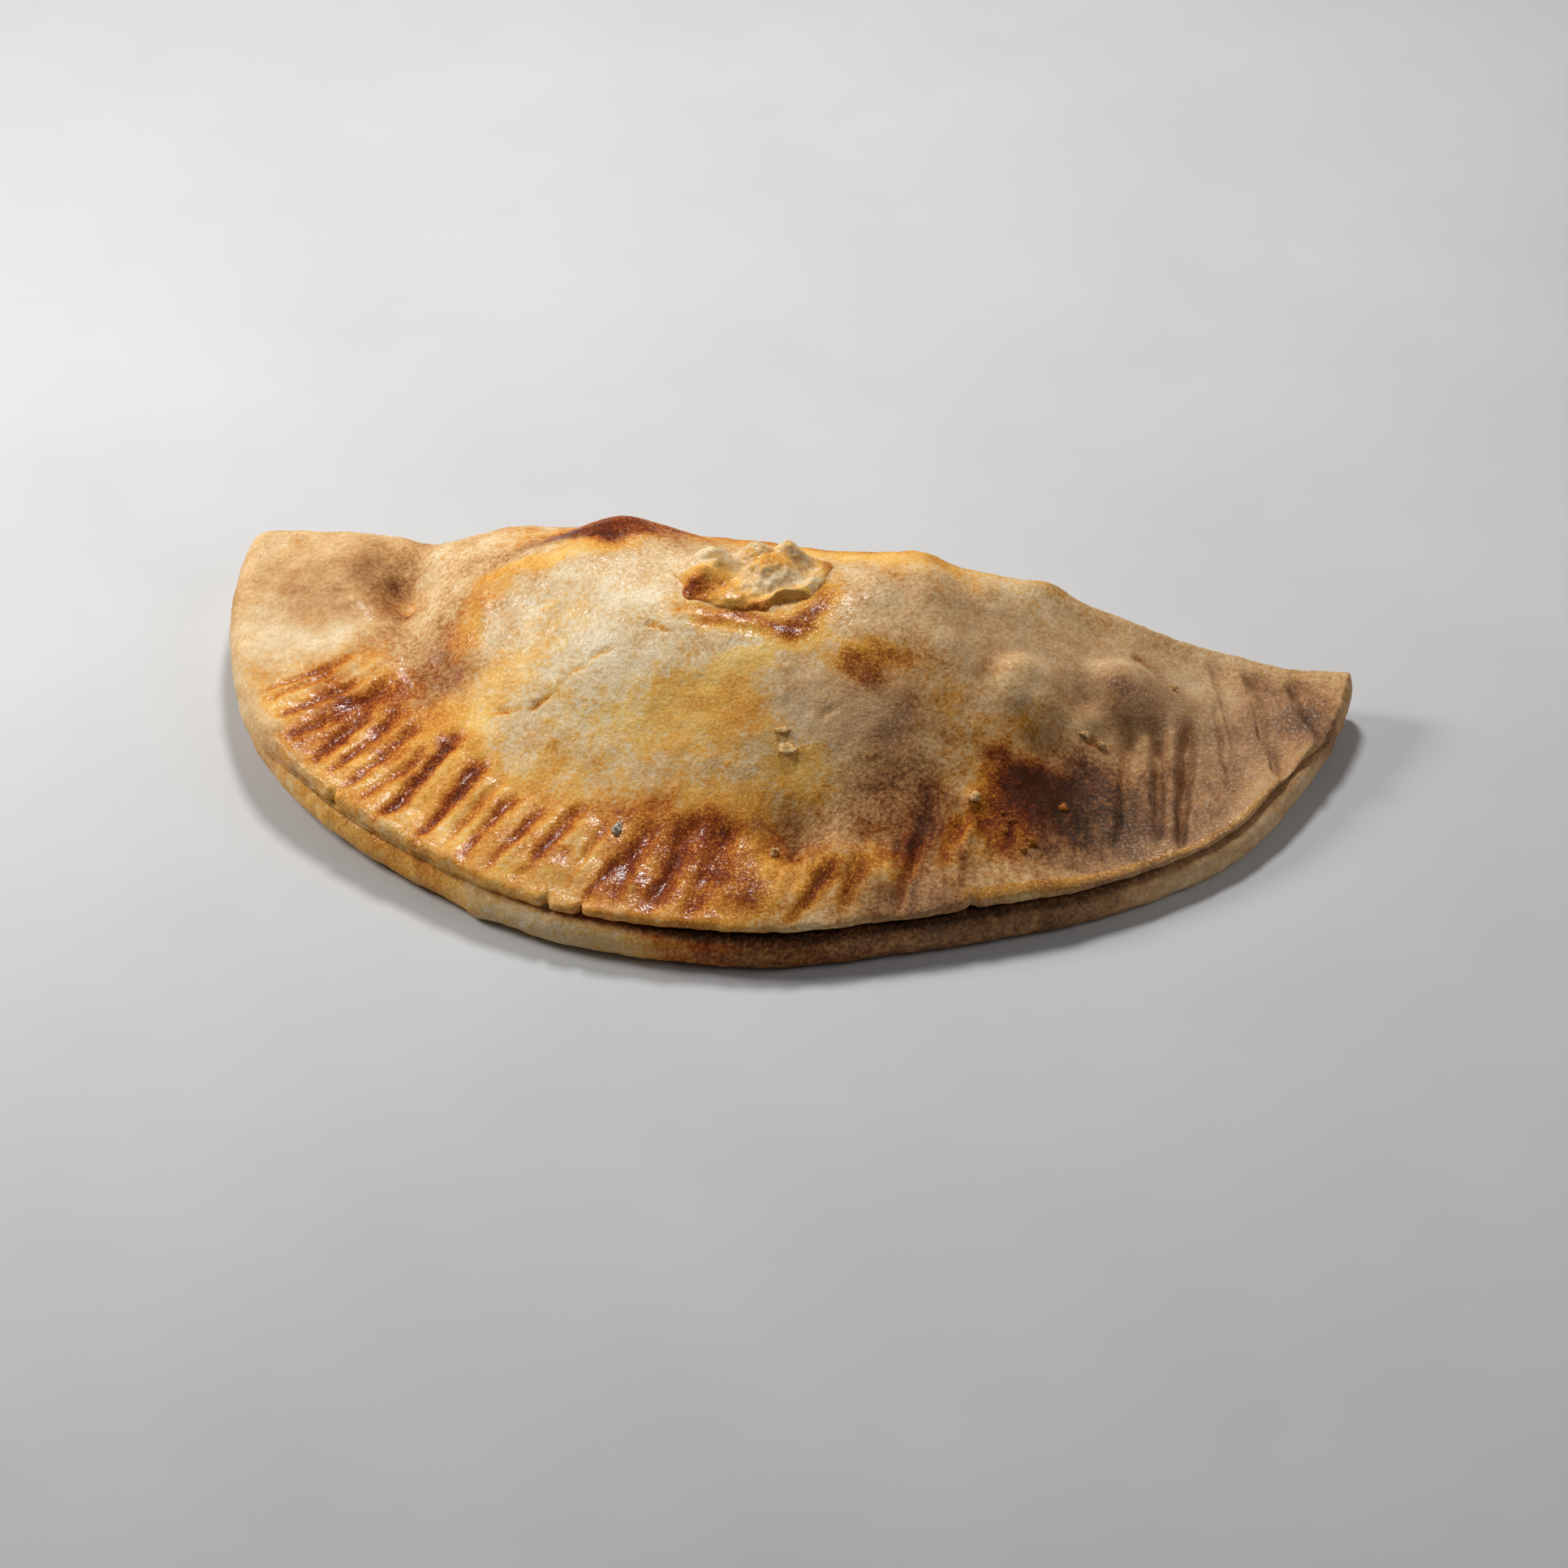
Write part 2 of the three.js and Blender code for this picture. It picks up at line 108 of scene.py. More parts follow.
# The rim's section in front: two rounded lips with a seam between them
LIPS_SPAN = (26, 42, 160, 174)
LOWER_ROUND = 1.9
LOWER_TURN = (-90, 70)
LOWER_RAGGED = 0.6
UPPER_ROUND = 1.2
UPPER_HALF = 1.5
UPPER_TURN = (-50, 90)
SEAM_INSET = 2.2
SEAM_HEIGHT = 3.9
# Half height of the band of painted shade that darkens the seam
PAINTED_SEAM_SPREAD = 0.45
# Rows of the seam, seen from its innermost line: inset and height
SEAM_ROWS = ((-0.8, -0.05), (0, 0), (-0.8, 0.1))
# What the lips are like at some degrees round from the left tip: set back of the upper lip,
# thickness of the lower one, roundness of the upper one, how ragged both are, depth of the seam,
# and how strongly painted shade darkens the seam
LIP_PLACES = (30, 60, 76, 90, 110, 130, 150)
LIP_BACK = (0.3, 0.7, 1.3, 1.8, 1.6, 1.6, 1.7)
LIP_THICK = (1.1, 1.18, 1.15, 1.12, 1.12, 1.05, 1)
LIP_NOSE = (1.1, 1, 0.9, 1, 1.2, 1.1, 0.7)
LIP_RAGGED = (1, 1, 1, 0.9, 0.7, 0.5, 0.3)
SEAM_DEEP = (0.1, 0.12, 0.3, 0.9, 1, 0.8, 0.5)
PAINTED_SEAM_SHADE = (0, 0.05, 0.3, 1, 1, 0.75, 0.4)
# Notches in the upper lip, on the rim in front of a line along X: place along X, and depth
LIP_NOTCHES = ((-47.7, 0.6), (-18.3, 0.9), (-14, 1), (32.3, 0.5))
NOTCH_HALF = 0.4
NOTCH_LINE = -20
# Where the rim is thinner in front: how much, from where to where, and how far in
THIN_LIP = 0.9
THIN_LIP_SPAN = (-34, -16, 22, 38)
THIN_LIP_FADE = (1.5, 6.5)

# How finely the crust is meshed, and how evenly the points are spread along its back
COLUMNS = 470
BACK_EVEN = 0.8
TOP_ROWS = 140
UNDER_ROWS = 8
LOWER_STEPS = 10
UPPER_STEPS = 8

# How finely the scrap of dough is meshed
PATCH_STEPS = 220
PATCH_EDGE_ROWS = 12
PATCH_TOP_ROWS = 40

# The fork's fine drag lines: the point that they run out from, its distance from the flange, their
# height, their distances from the rim, and where in front of the fold they begin
DRAG_CENTRE = (15, 37)
DRAG_REACH = 88
DRAG_HEIGHT = 0.14
DRAG_BAND = (1, 4, 12, 18)
DRAG_FRONT = (21, 27)

# Pressed lines: how long their soft ends are, their size at the rim, the shoulders beside them in
# half widths, and the width and evenness of their stain
LINE_SOFT = 3
LINE_AT_RIM = 0.6
SHOULDER = 0.14
SHOULDER_AT = 2.2
STAIN_WIDTH = 1.35
STAIN_RANGE = (0.4, 1.2)

# Ledges: half the width of their drop, and how far past and inside their ends they fade
LEDGE_DROP = 0.3
LEDGE_PAST = 1
LEDGE_INSIDE = 2

# What the dough's material reads: how baked (with painted shade added in places), amber, floury, glossy,
# honey-brown and even it is
FIELDS = ("done", "amber", "flour", "gloss", "honey", "calm")

# Cells of the repeating noise
LATTICE = 48

# Layers of noise, each given as its strength, the size of its lumps and its seed

# How pressed lines and ledges wander, how uneven the lines are, and how ragged their stain
LINE_WANDER = ((0.35, 5, 11), (0.1, 1.5, 12))
LINE_UNEVEN = ((0.35, 2.4, 13),)
LINE_STAIN = ((0.3, 1.1, 14),)
LEDGE_WANDER = ((0.5, 5, 19),)

# Drag lines, each with how drawn out it is; ragged lips; the skin's relief, with more to the right
DRAG_LINES = ((5, (1, 1.3, 17)), (4, (0.6, 0.7, 18)))
LIP_RAGS = ((0.25, 6, 15), (0.2, 2.2, 16))
CRUST_RELIEF = ((0.16, 5, 21), (0.09, 2.2, 22), (0.06, 1, 23))
RIGHT_RELIEF = ((0.12, 3.2, 24),)
RIGHT_RELIEF_SPAN = (5, 30)

# How blots of colour are warped, and how unevenly each place is baked
WARP_X = ((1.6, 6, 31), (0.8, 2, 32))
WARP_Y = ((1.6, 6, 33), (0.8, 2, 34))
SKIN_MOTTLE = ((0.07, 8, 35), (0.08, 3, 36))
BACK_MOTTLE = ((0.08, 7, 37),)
UNDER_MOTTLE = ((0.1, 5, 38),)
LIP_MOTTLE = ((0.1, 1.6, 39),)

# The scrap's relief, and how unevenly it is baked and shines
PATCH_RELIEF = ((0.28, 2.6, 41), (0.2, 1.2, 42), (0.08, 0.6, 43))
PATCH_MOTTLE = ((0.08, 2.4, 44),)
PATCH_SHEEN = ((0.4, 3, 45),)


class Stroke(NamedTuple):
    """A pressed line: its inner and rim ends, its depth, half its width and how brown it is."""

    inner: tuple
    outer: tuple
    depth: float
    half_width: float
    brown: float = 0


# The marks of the fork's tines, from the left tip round to the right one
FORK_MARKS = [
    Stroke((-50.5, -25), (-60.6, -33.9), 0.3, 0.6, 0.7),
    Stroke((-52.5, -28), (-60, -36.3), 0.25, 0.6, 0.6),
    Stroke((-49, -29.7), (-57.6, -38.3), 0.3, 0.7, 0.8),
    Stroke((-45.2, -29.7), (-51.3, -45.8), 0.4, 1.1, 1.1),
    Stroke((-44.9, -29.6), (-55.8, -41.6), 0.3, 0.9, 1),
    Stroke((-42.4, -33.6), (-48.4, -45.5), 0.35, 0.9, 0.9),
    Stroke((-39.8, -36.8), (-45.8, -47.8), 0.35, 0.8, 0.8),
    Stroke((-37.6, -40), (-43.6, -49.8), 0.3, 0.8, 0.7),
    Stroke((-34, -37.5), (-40.9, -52.2), 0.5, 1, 1.1),
    Stroke((-30.2, -41.8), (-35.4, -54.2), 0.45, 1, 1.1),
    Stroke((-27.6, -45), (-31.6, -54), 0.25, 0.7, 0.6),
    Stroke((-25, -46.5), (-29.6, -56.4), 0.4, 0.9, 0.9),
    Stroke((-21.2, -47.8), (-26, -57.5), 0.4, 0.8, 0.8),
    Stroke((-16.9, -47.6), (-21.2, -57), 0.5, 1, 1),
    Stroke((-13.2, -48.9), (-15.4, -56.1), 0.3, 0.7, 0.6),
    Stroke((-10.2, -53.6), (-13.8, -60.7), 0.4, 0.6, 1),
    Stroke((-7.8, -48.4), (-10.4, -58.8), 0.55, 1.3, 1.1),
    Stroke((-2.9, -46.8), (-5.4, -60.7), 0.7, 1.4, 1.1),
    Stroke((1.6, -47.4), (-0.9, -61.3), 0.7, 1.4, 1.1),
    Stroke((14.7, -50.3), (11.1, -59.5), 0.4, 1, 0.9),
    Stroke((18.6, -48.6), (16.5, -56.9), 0.4, 1, 0.9),
    Stroke((23.7, -44.3), (23, -55.5), 0.7, 0.6, 0.6),
    Stroke((28.5, -40.4), (27, -46.8), 0.6, 0.9, 1.1),
    Stroke((44.8, -20), (46.7, -37), 0.6, 0.8, 0.25),
    Stroke((48.2, -19), (51.3, -35), 0.7, 0.8, 0.25),
    Stroke((51.6, -15), (53.8, -36), 1.1, 0.9, 0.4),
    Stroke((54.4, -10.2), (58.1, -24), 0.5, 0.4, 0.3),
]

# Creases, cracks and, where the depth is negative, ridges of the skin
CREASES = [
    Stroke((47.3, -20), (49.6, -33), -0.8, 1),
    Stroke((50.4, -17.5), (52.4, -33), -0.8, 1),
    Stroke((29.3, -39.5), (29.4, -49.5), -0.5, 0.7),
    Stroke((-46.8, -2.5), (-45.8, -18), 0.7, 1.1),
    Stroke((-10.5, -24.6), (6.5, -24.2), 0.2, 0.6, 0.3),
    Stroke((-9, -26.2), (4, -26.4), 0.2, 0.5, 0.2),
    Stroke((-29.9, -35.4), (-26.9, -35.7), 0.5, 0.24, 0.8),
    Stroke((-25.5, -35.9), (-22.9, -34.2), 0.5, 0.26, 0.9),
    Stroke((-22.4, -33.6), (-21.2, -32.3), 0.35, 0.2, 0.5),
    Stroke((-21.1, -31.9), (-19.1, -31.5), 0.4, 0.22, 0.7),
    Stroke((-19.3, -30.6), (-16.3, -29.7), 0.5, 0.26, 0.9),
    Stroke((-13.1, -27.2), (-9.8, -28), 0.4, 0.24, 1),
    Stroke((9.6, -34.4), (12.5, -31.6), 0.3, 0.35, 0.4),
    Stroke((12, -29), (17, -31), 0.25, 0.35, 0.3),
    Stroke((43.6, -8.2), (46, -8.8), 0.4, 0.45, 1),
    Stroke((40.6, -23.4), (42.2, -23.9), 0.6, 0.4, 0.9),
    Stroke((32.3, -50), (32.6, -53), 0.4, 0.3, 0.8),
    Stroke((-61.5, -11), (-60, -19), 0.15, 0.5),
]

# Ledges that the fork left towards the right tip: each drops on its right side and then rises again
LEDGES = [
    Stroke((44.6, -20), (46.5, -37), 0.6, 1.3),
    Stroke((48, -19), (51.1, -35), 0.8, 1.5),
    Stroke((51.4, -15), (53.6, -36), 1.4, 1.8),
    Stroke((52.4, -3.4), (57.6, -16.5), 1.1, 2.4),
    Stroke((56.5, -3.5), (63.8, -21), 1.9, 3),
    Stroke((62.1, -3.3), (67.7, -14.5), 1.9, 3),
]


class Bump(NamedTuple):
    """A lump or hollow of the skin: its middle, radius and height, and how square its profile is."""

    x: float
    y: float
    radius: float
    height: float
    power: float = 2


BUMPS = [
    Bump(-21, -6.5, 5, 1.8),
    Bump(-31, -8, 7, -1.8),
    Bump(16.5, -5, 3.5, 0.9),
    Bump(25, -4, 5, -0.8),
    Bump(32.5, -3.5, 2.6, 1),
    Bump(39, -4, 5, -1.2),
    Bump(33.2, -22, 4.4, 2.8, 3.6),
    Bump(44.2, -14.8, 4.3, 2.8, 3.6),
    Bump(48.6, -12, 1.8, 0.5),
    Bump(38.6, -19.4, 2.2, -0.8),
    Bump(27.5, -24.5, 3, -0.6),
    Bump(38.4, -14.4, 2.4, 0.6),
    Bump(40.8, -20.6, 1.7, 1, 3),
    Bump(36, -28.4, 3.4, -0.4),
    Bump(47, -21.6, 2.6, -0.4),
    Bump(20, -13, 3.6, 0.7, 3),
    Bump(26.5, -11.5, 2.8, 0.6, 3),
    Bump(13, -17, 2.8, 0.5, 3),
    Bump(29, -15.5, 2.2, 0.5, 3),
    Bump(22.5, -21, 3.2, 0.4, 3),
    Bump(9, -47, 4, -1.8),
    Bump(14, -49.5, 3, 1, 3),
    Bump(20.5, -50, 2.8, 0.9, 3),
    Bump(29.2, -37.4, 1.4, 0.6),
    Bump(29.2, -42.5, 1.2, 0.5),
    Bump(29.4, -46.5, 1.2, 0.5),
    Bump(36, -35, 5, 0.8),
    Bump(-57, -12, 9, 1.2),
    Bump(-46.5, -13, 4, -1.8),
]


class Blot(NamedTuple):
    """A soft blot of colour: its middle, its radii along and across, its turn and its strength."""

    x: float
    y: float
    along: float
    across: float
    turn: float
    amount: float


# How far the dough is baked, on top of the plain crust; some blots, marked below, add painted shade
PLAIN_DONE = 0.4
BAKE_AND_SHADE_BLOTS = [
    # Browning of the tab's right part, partly painted shade where it turns away from the light
    Blot(-50.5, -10, 7, 5, 60, 0.18),
    Blot(-46, -20, 3, 6, 20, 0.12),
    Blot(-35.5, -24, 5, 4, 50, 0.1),
    Blot(-49.5, -17.5, 5, 2, 15, 0.2),
    # Painted shade in the crease between the tab and the dome
    Blot(-48, -11.5, 6, 2, 85, 0.14),
    Blot(-43.8, -9, 5, 1.8, 85, -0.12),
    Blot(-57, -22.5, 8, 3.4, 20, -0.14),
    Blot(-46, -32, 12, 4, 42, 0.16),
    Blot(-39, -34, 6, 4, 40, 0.14),
    Blot(-29, -11.5, 9, 2, 15, 0.23),
    Blot(-35, -19, 6, 2.6, 40, 0.05),
    Blot(-20.5, -8, 9, 4.6, 5, 0.48),
    Blot(6, -3.5, 28, 3, 0, 0.2),
    Blot(-38, -29, 4, 7, 20, 0.14),
    Blot(-21, -25, 13, 8, 20, -0.18),
    Blot(-5, -29.5, 12, 3.5, 5, -0.1),
    Blot(-18, -36, 9, 5, 10, -0.12),
    Blot(-6, -47.5, 9, 1.8, 0, 0.12),
    # Painted shade in the hollow at the foot of the dome, in front
    Blot(9, -47, 4, 3.5, 0, 0.28),
    Blot(-2.5, -54, 9, 7, 0, 0.26),
    Blot(14, -53.5, 9, 4, 25, 0.12),
    Blot(22, -46, 5, 4, 0, 0.28),
    Blot(20, -38, 6, 6, 0, 0.28),
    Blot(65, -8, 5, 8, 0, 0.28),
    Blot(37.6, -33.4, 6, 5, -35, 0.36),
    Blot(32.5, -38, 7, 6, 30, 0.24),
    Blot(32.2, -31, 4.2, 3.4, 0, 0.32),
    Blot(47, -34, 14, 8, 42, 0.42),
    Blot(60, -12, 9, 12, 0, 0.12),
    Blot(51, -22, 8, 8, 0, 0.08),
    Blot(38.6, -19.4, 2.2, 3, 0, 0.16),
    Blot(13.6, -26.8, 4, 2.6, 10, 0.36),
    Blot(-57, -13, 6, 6, 0, 0.12),
    Blot(24.5, -42, 1.6, 4, 0, 0.24),
    Blot(20.5, -28, 7, 5, 0, 0.14),
    Blot(-3, -24.6, 8, 1.1, 3, 0.3),
    Blot(3.6, -24, 3.2, 1.8, 35, 0.32),
    Blot(6.6, -18.6, 1.6, 3, -20, 0.26),
    Blot(5.6, -21, 2.4, 2, 50, 0.26),
    Blot(28, -40, 26, 12, 20, 0.06),
    # Painted shade along the front-right flange
    Blot(16, -49, 14, 6, 20, 0.08),
    Blot(-49, -34.5, 5, 5, 40, 0.14),
    Blot(-1.5, -34.6, 5, 3, 0, 0.14),
    Blot(63, -10, 8, 9, 0, 0.08),
    Blot(44, -16.4, 3.2, 2.8, 0, 0.38),
    Blot(26.5, -52.5, 7, 3.4, 20, 0.24),
    Blot(23, -14, 9, 6, 0, 0.07),
    Blot(48, -11.8, 3, 3, 0, 0.16),
    Blot(33.4, -26, 3.4, 2.4, 0, -0.06),
    Blot(40.2, -27.4, 5, 3.2, 0, 0.26),
]

# How far the grooves are baked, how amber they are, where they come in from the rim, the share of
# that in creases and the most there is; how much paler drag lines are
GROOVE_DONE = 0.86
GROOVE_AMBER = 0.8
GROOVES_COME_IN = (-1, 2)
CREASE_SHARE = 0.7
GROOVE_MOST = 1.1
DRAG_PALER = 0.1

# The brush of egg wash along the left and front of the flange: degrees round from the left tip,
# and distances in from the rim. What it adds to the baking, the amber and the gloss
WASH_SPAN = (22, 36, 92, 100)
WASH_BAND = (-3, 1, 14, 22)
WASH_DONE = 0.09
WASH_AMBER = 0.6
WASH_GLOSS = 0.8

# Where egg wash has pooled and baked amber
AMBER_BLOTS = [
    Blot(-36, -23, 5, 3, 60, 0.9),
    Blot(-30, -16.6, 7, 1.4, 12, 0.9),
    Blot(-22, -13, 5, 1.6, 15, 0.9),
    Blot(-22, -7, 11, 4.5, 5, 0.9),
    Blot(13.6, -26.6, 5, 2.6, 10, 0.9),
    Blot(0.5, -29.5, 7, 1.8, 35, 0.9),
    Blot(-2, -24.6, 9, 1.7, 3, 1),
    Blot(3.6, -24, 3.8, 2.6, 35, 1),
    Blot(6.6, -18.6, 2, 3.4, -20, 1),
    Blot(5.6, -21, 2.8, 2.4, 50, 1),
    Blot(9, -40, 3.4, 2.6, 0, 0.9),
    Blot(-10, -37.5, 12, 5, 0, 0.75),
    Blot(-2.4, -34.6, 6, 3.2, 0, 0.8),
    Blot(-27, -27, 12, 6, 30, 0.25),
    Blot(-35, -37, 12, 4, 42, 0.6),
    Blot(33.5, -35.5, 7, 9.5, -20, 1),
    Blot(2, -51, 8, 8, 0, 0.9),
    Blot(15, -52, 8, 5, 20, 0.5),
    Blot(22, -46, 5, 5, 0, 0.5),
    Blot(14, -9, 14, 4, -10, 0.5),
    Blot(4, -4, 26, 4, 0, 0.8),
    Blot(23, -27, 5, 6, 0, 0.3),
    Blot(-49, -16.5, 5, 4, 40, 0.3),
]

# Where the wash still shines
GLOSS_BLOTS = [
    Blot(-47, -29.5, 5, 3, 40, 0.4),
    Blot(-4, -53, 10, 7, 0, 0.3),
    Blot(-51, -19, 4, 2, 20, 0.9),
    Blot(-33, -18, 11, 5, 25, 0.7),
    Blot(-18, -11, 11, 6, 10, 0.8),
    Blot(-1, -26, 10, 2.5, 5, 0.9),
    Blot(-22, -26, 14, 9, 0, 0.5),
    Blot(10, -21, 7, 5, 20, 0.6),
    Blot(-13, -19, 10, 6, 15, 0.6),
]

# Where flour has stayed on the skin, and the share of it that amber wash hides
FLOUR_HIDDEN = 0.85
FLOUR_BLOTS = [
    Blot(58, -14, 15, 16, 0, 0.85),
    Blot(40, -14, 13, 9, 0, 0.35),
    Blot(17, -31.5, 5, 4, 0, 0.6),
    Blot(9, -34, 7, 5, 10, 0.8),
    Blot(24, -17, 14, 8, 0, 0.4),
    Blot(52, -37.5, 15, 6.5, 42, 0.75),
    Blot(26, -53, 10, 4, 20, 0.5),
    Blot(-61, -14, 9, 10, 0, 0.3),
]

# Stretches of the lower lip along X: where it turns from golden to floury, a pale stretch and a
# stretch of painted shade in front, and both ends
FLOURY_LIP_SPAN = (18, 38)
PALE_LIP_SPAN = (-34, -24, -10, -2)
SHADED_LIP_SPAN = (-8, 6, 40, 54)
LEFT_LIP_SPAN = (-56, -34)
RIGHT_LIP_SPAN = (42, 54)
# How far the lower lip is baked, and how much more or less so its stretches are; the shaded stretch's
# extra is painted shade
LIP_DONE = 0.6
SHADED_LIP_MORE = 0.16
RIGHT_LESS = 0.2
PALE_LESS = 0.32
LEFT_LESS = 0.16
# How floury, amber and glossy its stretches are; the shaded stretch loses flour and amber to its painted
# shade
LIP_FLOUR = 0.8
SHADED_FLOUR_LESS = 0.4
PALE_FLOUR = 0.6
SHADED_AMBER_LESS = 0.7
PALE_AMBER_LESS = 0.6
LEFT_AMBER_LESS = 0.5
LIP_GLOSS = 0.3
# The upper lip's amber brim: where along X, how far it is baked, how fully and how glossy
BRIM_SPAN = (26, 34, 60, 67)
BRIM_DONE = 0.62
BRIM_COVER = 0.9
BRIM_GLOSS = 0.6
# How dark the seam's painted shade is, given as a shade of baking
PAINTED_SEAM_DONE = 0.97

# The back and the underside: where along Y and up Z they begin or end, and how far they are baked
BACK_SPAN = (-4, 1)
BACK_TOP = (8, 15)
BACK_DONE = 0.46
UNDER_TOP = (0.2, 1.2)
UNDER_DONE = 0.6

# Where along X the wash turns honey-brown; where the left tip's colour is calm, and how calm
HONEY_SPAN = (-2, 12)
CALM_TIP_SPAN = (-54, -40)
CALM_TIP = 0.8

# The scrap of dough on top
PATCH_PLACE = np.array([-2.4, -16.4])
PATCH_HALF = np.array([9.4, 6.7])
PATCH_BLUNT = 0.85
PATCH_TURN = math.radians(20)
PATCH_THICKNESS = 0.4
PATCH_SINK = 0.5
PATCH_TEAR = ((3, 0.8, 0.03), (7, 1, 0.04), (11, 0, 0.025))
PATCH_LOBES = [
    Bump(2.2, -0.2, 3.2, 3.2),
    Bump(5, 2.4, 2.4, 4.2),
    Bump(1, 2.6, 2.6, 4.2),
    Bump(-4.4, 2.4, 2.6, 3.4),
    Bump(-6.6, -0.8, 2.2, 2.8),
    Bump(-1.6, -4.4, 2.4, 0.9),
    Bump(5, -3.4, 2.4, 0.9),
]
LOBE_BLEND = 0.22
LOBE_FALL = 0.7
PATCH_EDGE_POWER = 6
# Rings of the scrap, as shares of its half size: under it, the round of its edge, and on top
PATCH_UNDER = 0.5
PATCH_EDGE = 0.09
PATCH_TOP = (0.9, 0.02)
# The scrap's rolled rim at its right and front: degrees round it, its height, waves and place
PATCH_ROLL_SPAN = (-130, -80, -30, 25)
PATCH_ROLL = 0.6
PATCH_ROLL_WAVES = ((5, 1, 0.4), (9, 0, 0.3))
PATCH_ROLL_AT = 0.87
PATCH_ROLL_HALF = 0.08
PATCH_PLAIN_DONE = 0.34
PATCH_PLAIN_AMBER = 0.05
PATCH_GLOSS = 0.7
PATCH_DONE = [
    Blot(2.2, 0, 3, 1.8, 10, 0.24),
    Blot(-3.6, -2.4, 1.6, 2.6, 0, 0.2),
    Blot(-7.8, -3, 3, 2.2, -20, 0.46),
    Blot(9.6, 0.6, 1.2, 3.4, 0, 0.28),
    Blot(1, -7, 9, 1.2, 8, 0.3),
    Blot(-4.4, 2.4, 2.4, 1.8, 0, -0.1),
    Blot(5, 2.4, 2.4, 1.8, 0, -0.1),
]
PATCH_AMBER = [
    Blot(-7.2, -2.6, 4.4, 3.2, 0, 1),
    Blot(1, -6.4, 9, 1.8, 8, 1),
    Blot(2.2, 0, 3.4, 2.2, 0, 0.8),
    Blot(-3.6, -2.4, 1.8, 3, 0, 0.7),
    Blot(9.6, 0.5, 1.6, 4, 0, 1),
]

# Crumbs: how high they stand, as a share of their half height, how fine their balls are, strength
# and size of their noise, and how far apart one batch lies in it from the next
CRUMB_STAND = 0.3
CRUMB_SPLITS = 3
CRUMB_ROUGH = ((0.4, 0.9), (0.2, 0.4))
CRUMB_APART = 7
# Crumbs and flecks on the skin: place, and half lengths along, across and up
CRUMBS = [
    ((6.6, -38.6), (1.2, 0.9, 0.5)),
    ((5.6, -36.8), (0.8, 0.5, 0.25)),
    ((42.4, -23.6), (0.6, 0.4, 0.45)),
    ((40.0, -23.2), (0.8, 0.5, 0.35)),
    ((29.2, -37.5), (0.7, 0.8, 0.5)),
    ((7.1, -49.2), (0.6, 0.6, 0.6)),
    ((48.8, -10.6), (0.7, 0.4, 0.3)),
]
FLECK = ((-11.8, -49.8), (0.55, 1.2, 0.4))
# Beads of glaze that boiled up on the caramel spot
BEADS = [
    ((39.5, -34.6), (0.6, 0.6, 0.5)),
    ((37.0, -41.4), (0.6, 0.55, 0.5)),
    ((34.0, -39.2), (0.4, 0.4, 0.4)),
    ((33.6, -40.7), (0.35, 0.35, 0.35)),
    ((36.2, -42.9), (0.4, 0.4, 0.4)),
    ((32.8, -38.3), (0.3, 0.3, 0.3)),
]

# The camera, in the part's own frame
AZIMUTH = math.radians(11.6)
ELEVATION = math.radians(40)
DISTANCE = 0.816
TARGET = Vector((1.22, 16.06, -11.25)) * MM
LENS = 100
SENSOR = 24

# The floor's half width in metres, and its grey
FLOOR_HALF = 3
FLOOR_GREY = (0.56, 0.6)

# Round soft lights: name, place, aim, width, power and colour
LAMPS = (
    ("key", (-0.28, 0.02, 0.2), (-0.01, 0, 0.01), 0.12, 0.72, (1, 0.99, 0.97)),
    ("back", (-0.05, 0.22, 0.32), (0, 0, 0.01), 0.08, 0.95, (1, 1, 1)),
    ("fill", (0.34, -0.04, 0.3), (0.03, 0, 0.01), 0.25, 0.3, (1, 1, 1)),
)
ROOM_STRENGTH = 0.06


# Small helpers for numbers


def smoothstep(x, low, high):
    t = np.clip((x - low) / (high - low), 0, 1)
    return t * t * (3 - 2 * t)


def plateau(x, start, full, full_to, end):
    return smoothstep(x, start, full) * (1 - smoothstep(x, full_to, end))


def lerp(a, b, t):
    return a + (b - a) * t


def bell(x):
    return np.exp(-(x**2))


def quarter_round(share):
    return np.sqrt(1 - (1 - np.clip(share, 0, 1)) ** 2)


def noise(points, size, seed):
    """Smooth noise, about -1 to 1, at points in space, with lumps of that size."""
    slopes = np.random.default_rng(seed).normal(size=(LATTICE, LATTICE, LATTICE, 3))
    place = points / size
    cell = np.floor(place).astype(int)
    inside = place - cell
    total = np.zeros(len(points))
    for corner in product((0, 1), repeat=3):
        away = inside - corner
        near = 1 - np.abs(away)
        weight = (near**3 * (near * (near * 6 - 15) + 10)).prod(1)
        slope = slopes[tuple(((cell + corner) % LATTICE).T)]
        total += (slope * away).sum(1) * weight
    return total


def layered(points, layers):
    """Layers of noise added up."""
    return sum(strength * noise(points, size, seed) for strength, size, seed in layers)


def plan_layered(x, y, layers):
    spots = np.stack([x, y, np.zeros_like(x)], -1).reshape(-1, 3)
    return layered(spots, layers).reshape(x.shape)


def ripples(angle, waves):
    """Waves added up round a turn, each given as its count, start and share."""
    return sum(share * np.sin(count * angle + start) for count, start, share in waves)


def bumps_at(bumps, x, y):
    total = np.zeros_like(x)
    for bump in bumps:
        away = np.hypot(x - bump.x, y - bump.y) / bump.radius
        total += bump.height * np.exp(-(away**bump.power))
    return total


def blots_at(blots, x, y):
    total = np.zeros_like(x)
    for blot in blots:
        turn = math.radians(blot.turn)
        u = (x - blot.x) * math.cos(turn) + (y - blot.y) * math.sin(turn)
        v = (y - blot.y) * math.cos(turn) - (x - blot.x) * math.sin(turn)
        total += blot.amount * np.exp(-((u / blot.along) ** 2) - (v / blot.across) ** 2)
    return total


# Shape of the pastry


def fold_y(x):
    return BACK_BULGE * plateau(x, *BULGE_SPAN)


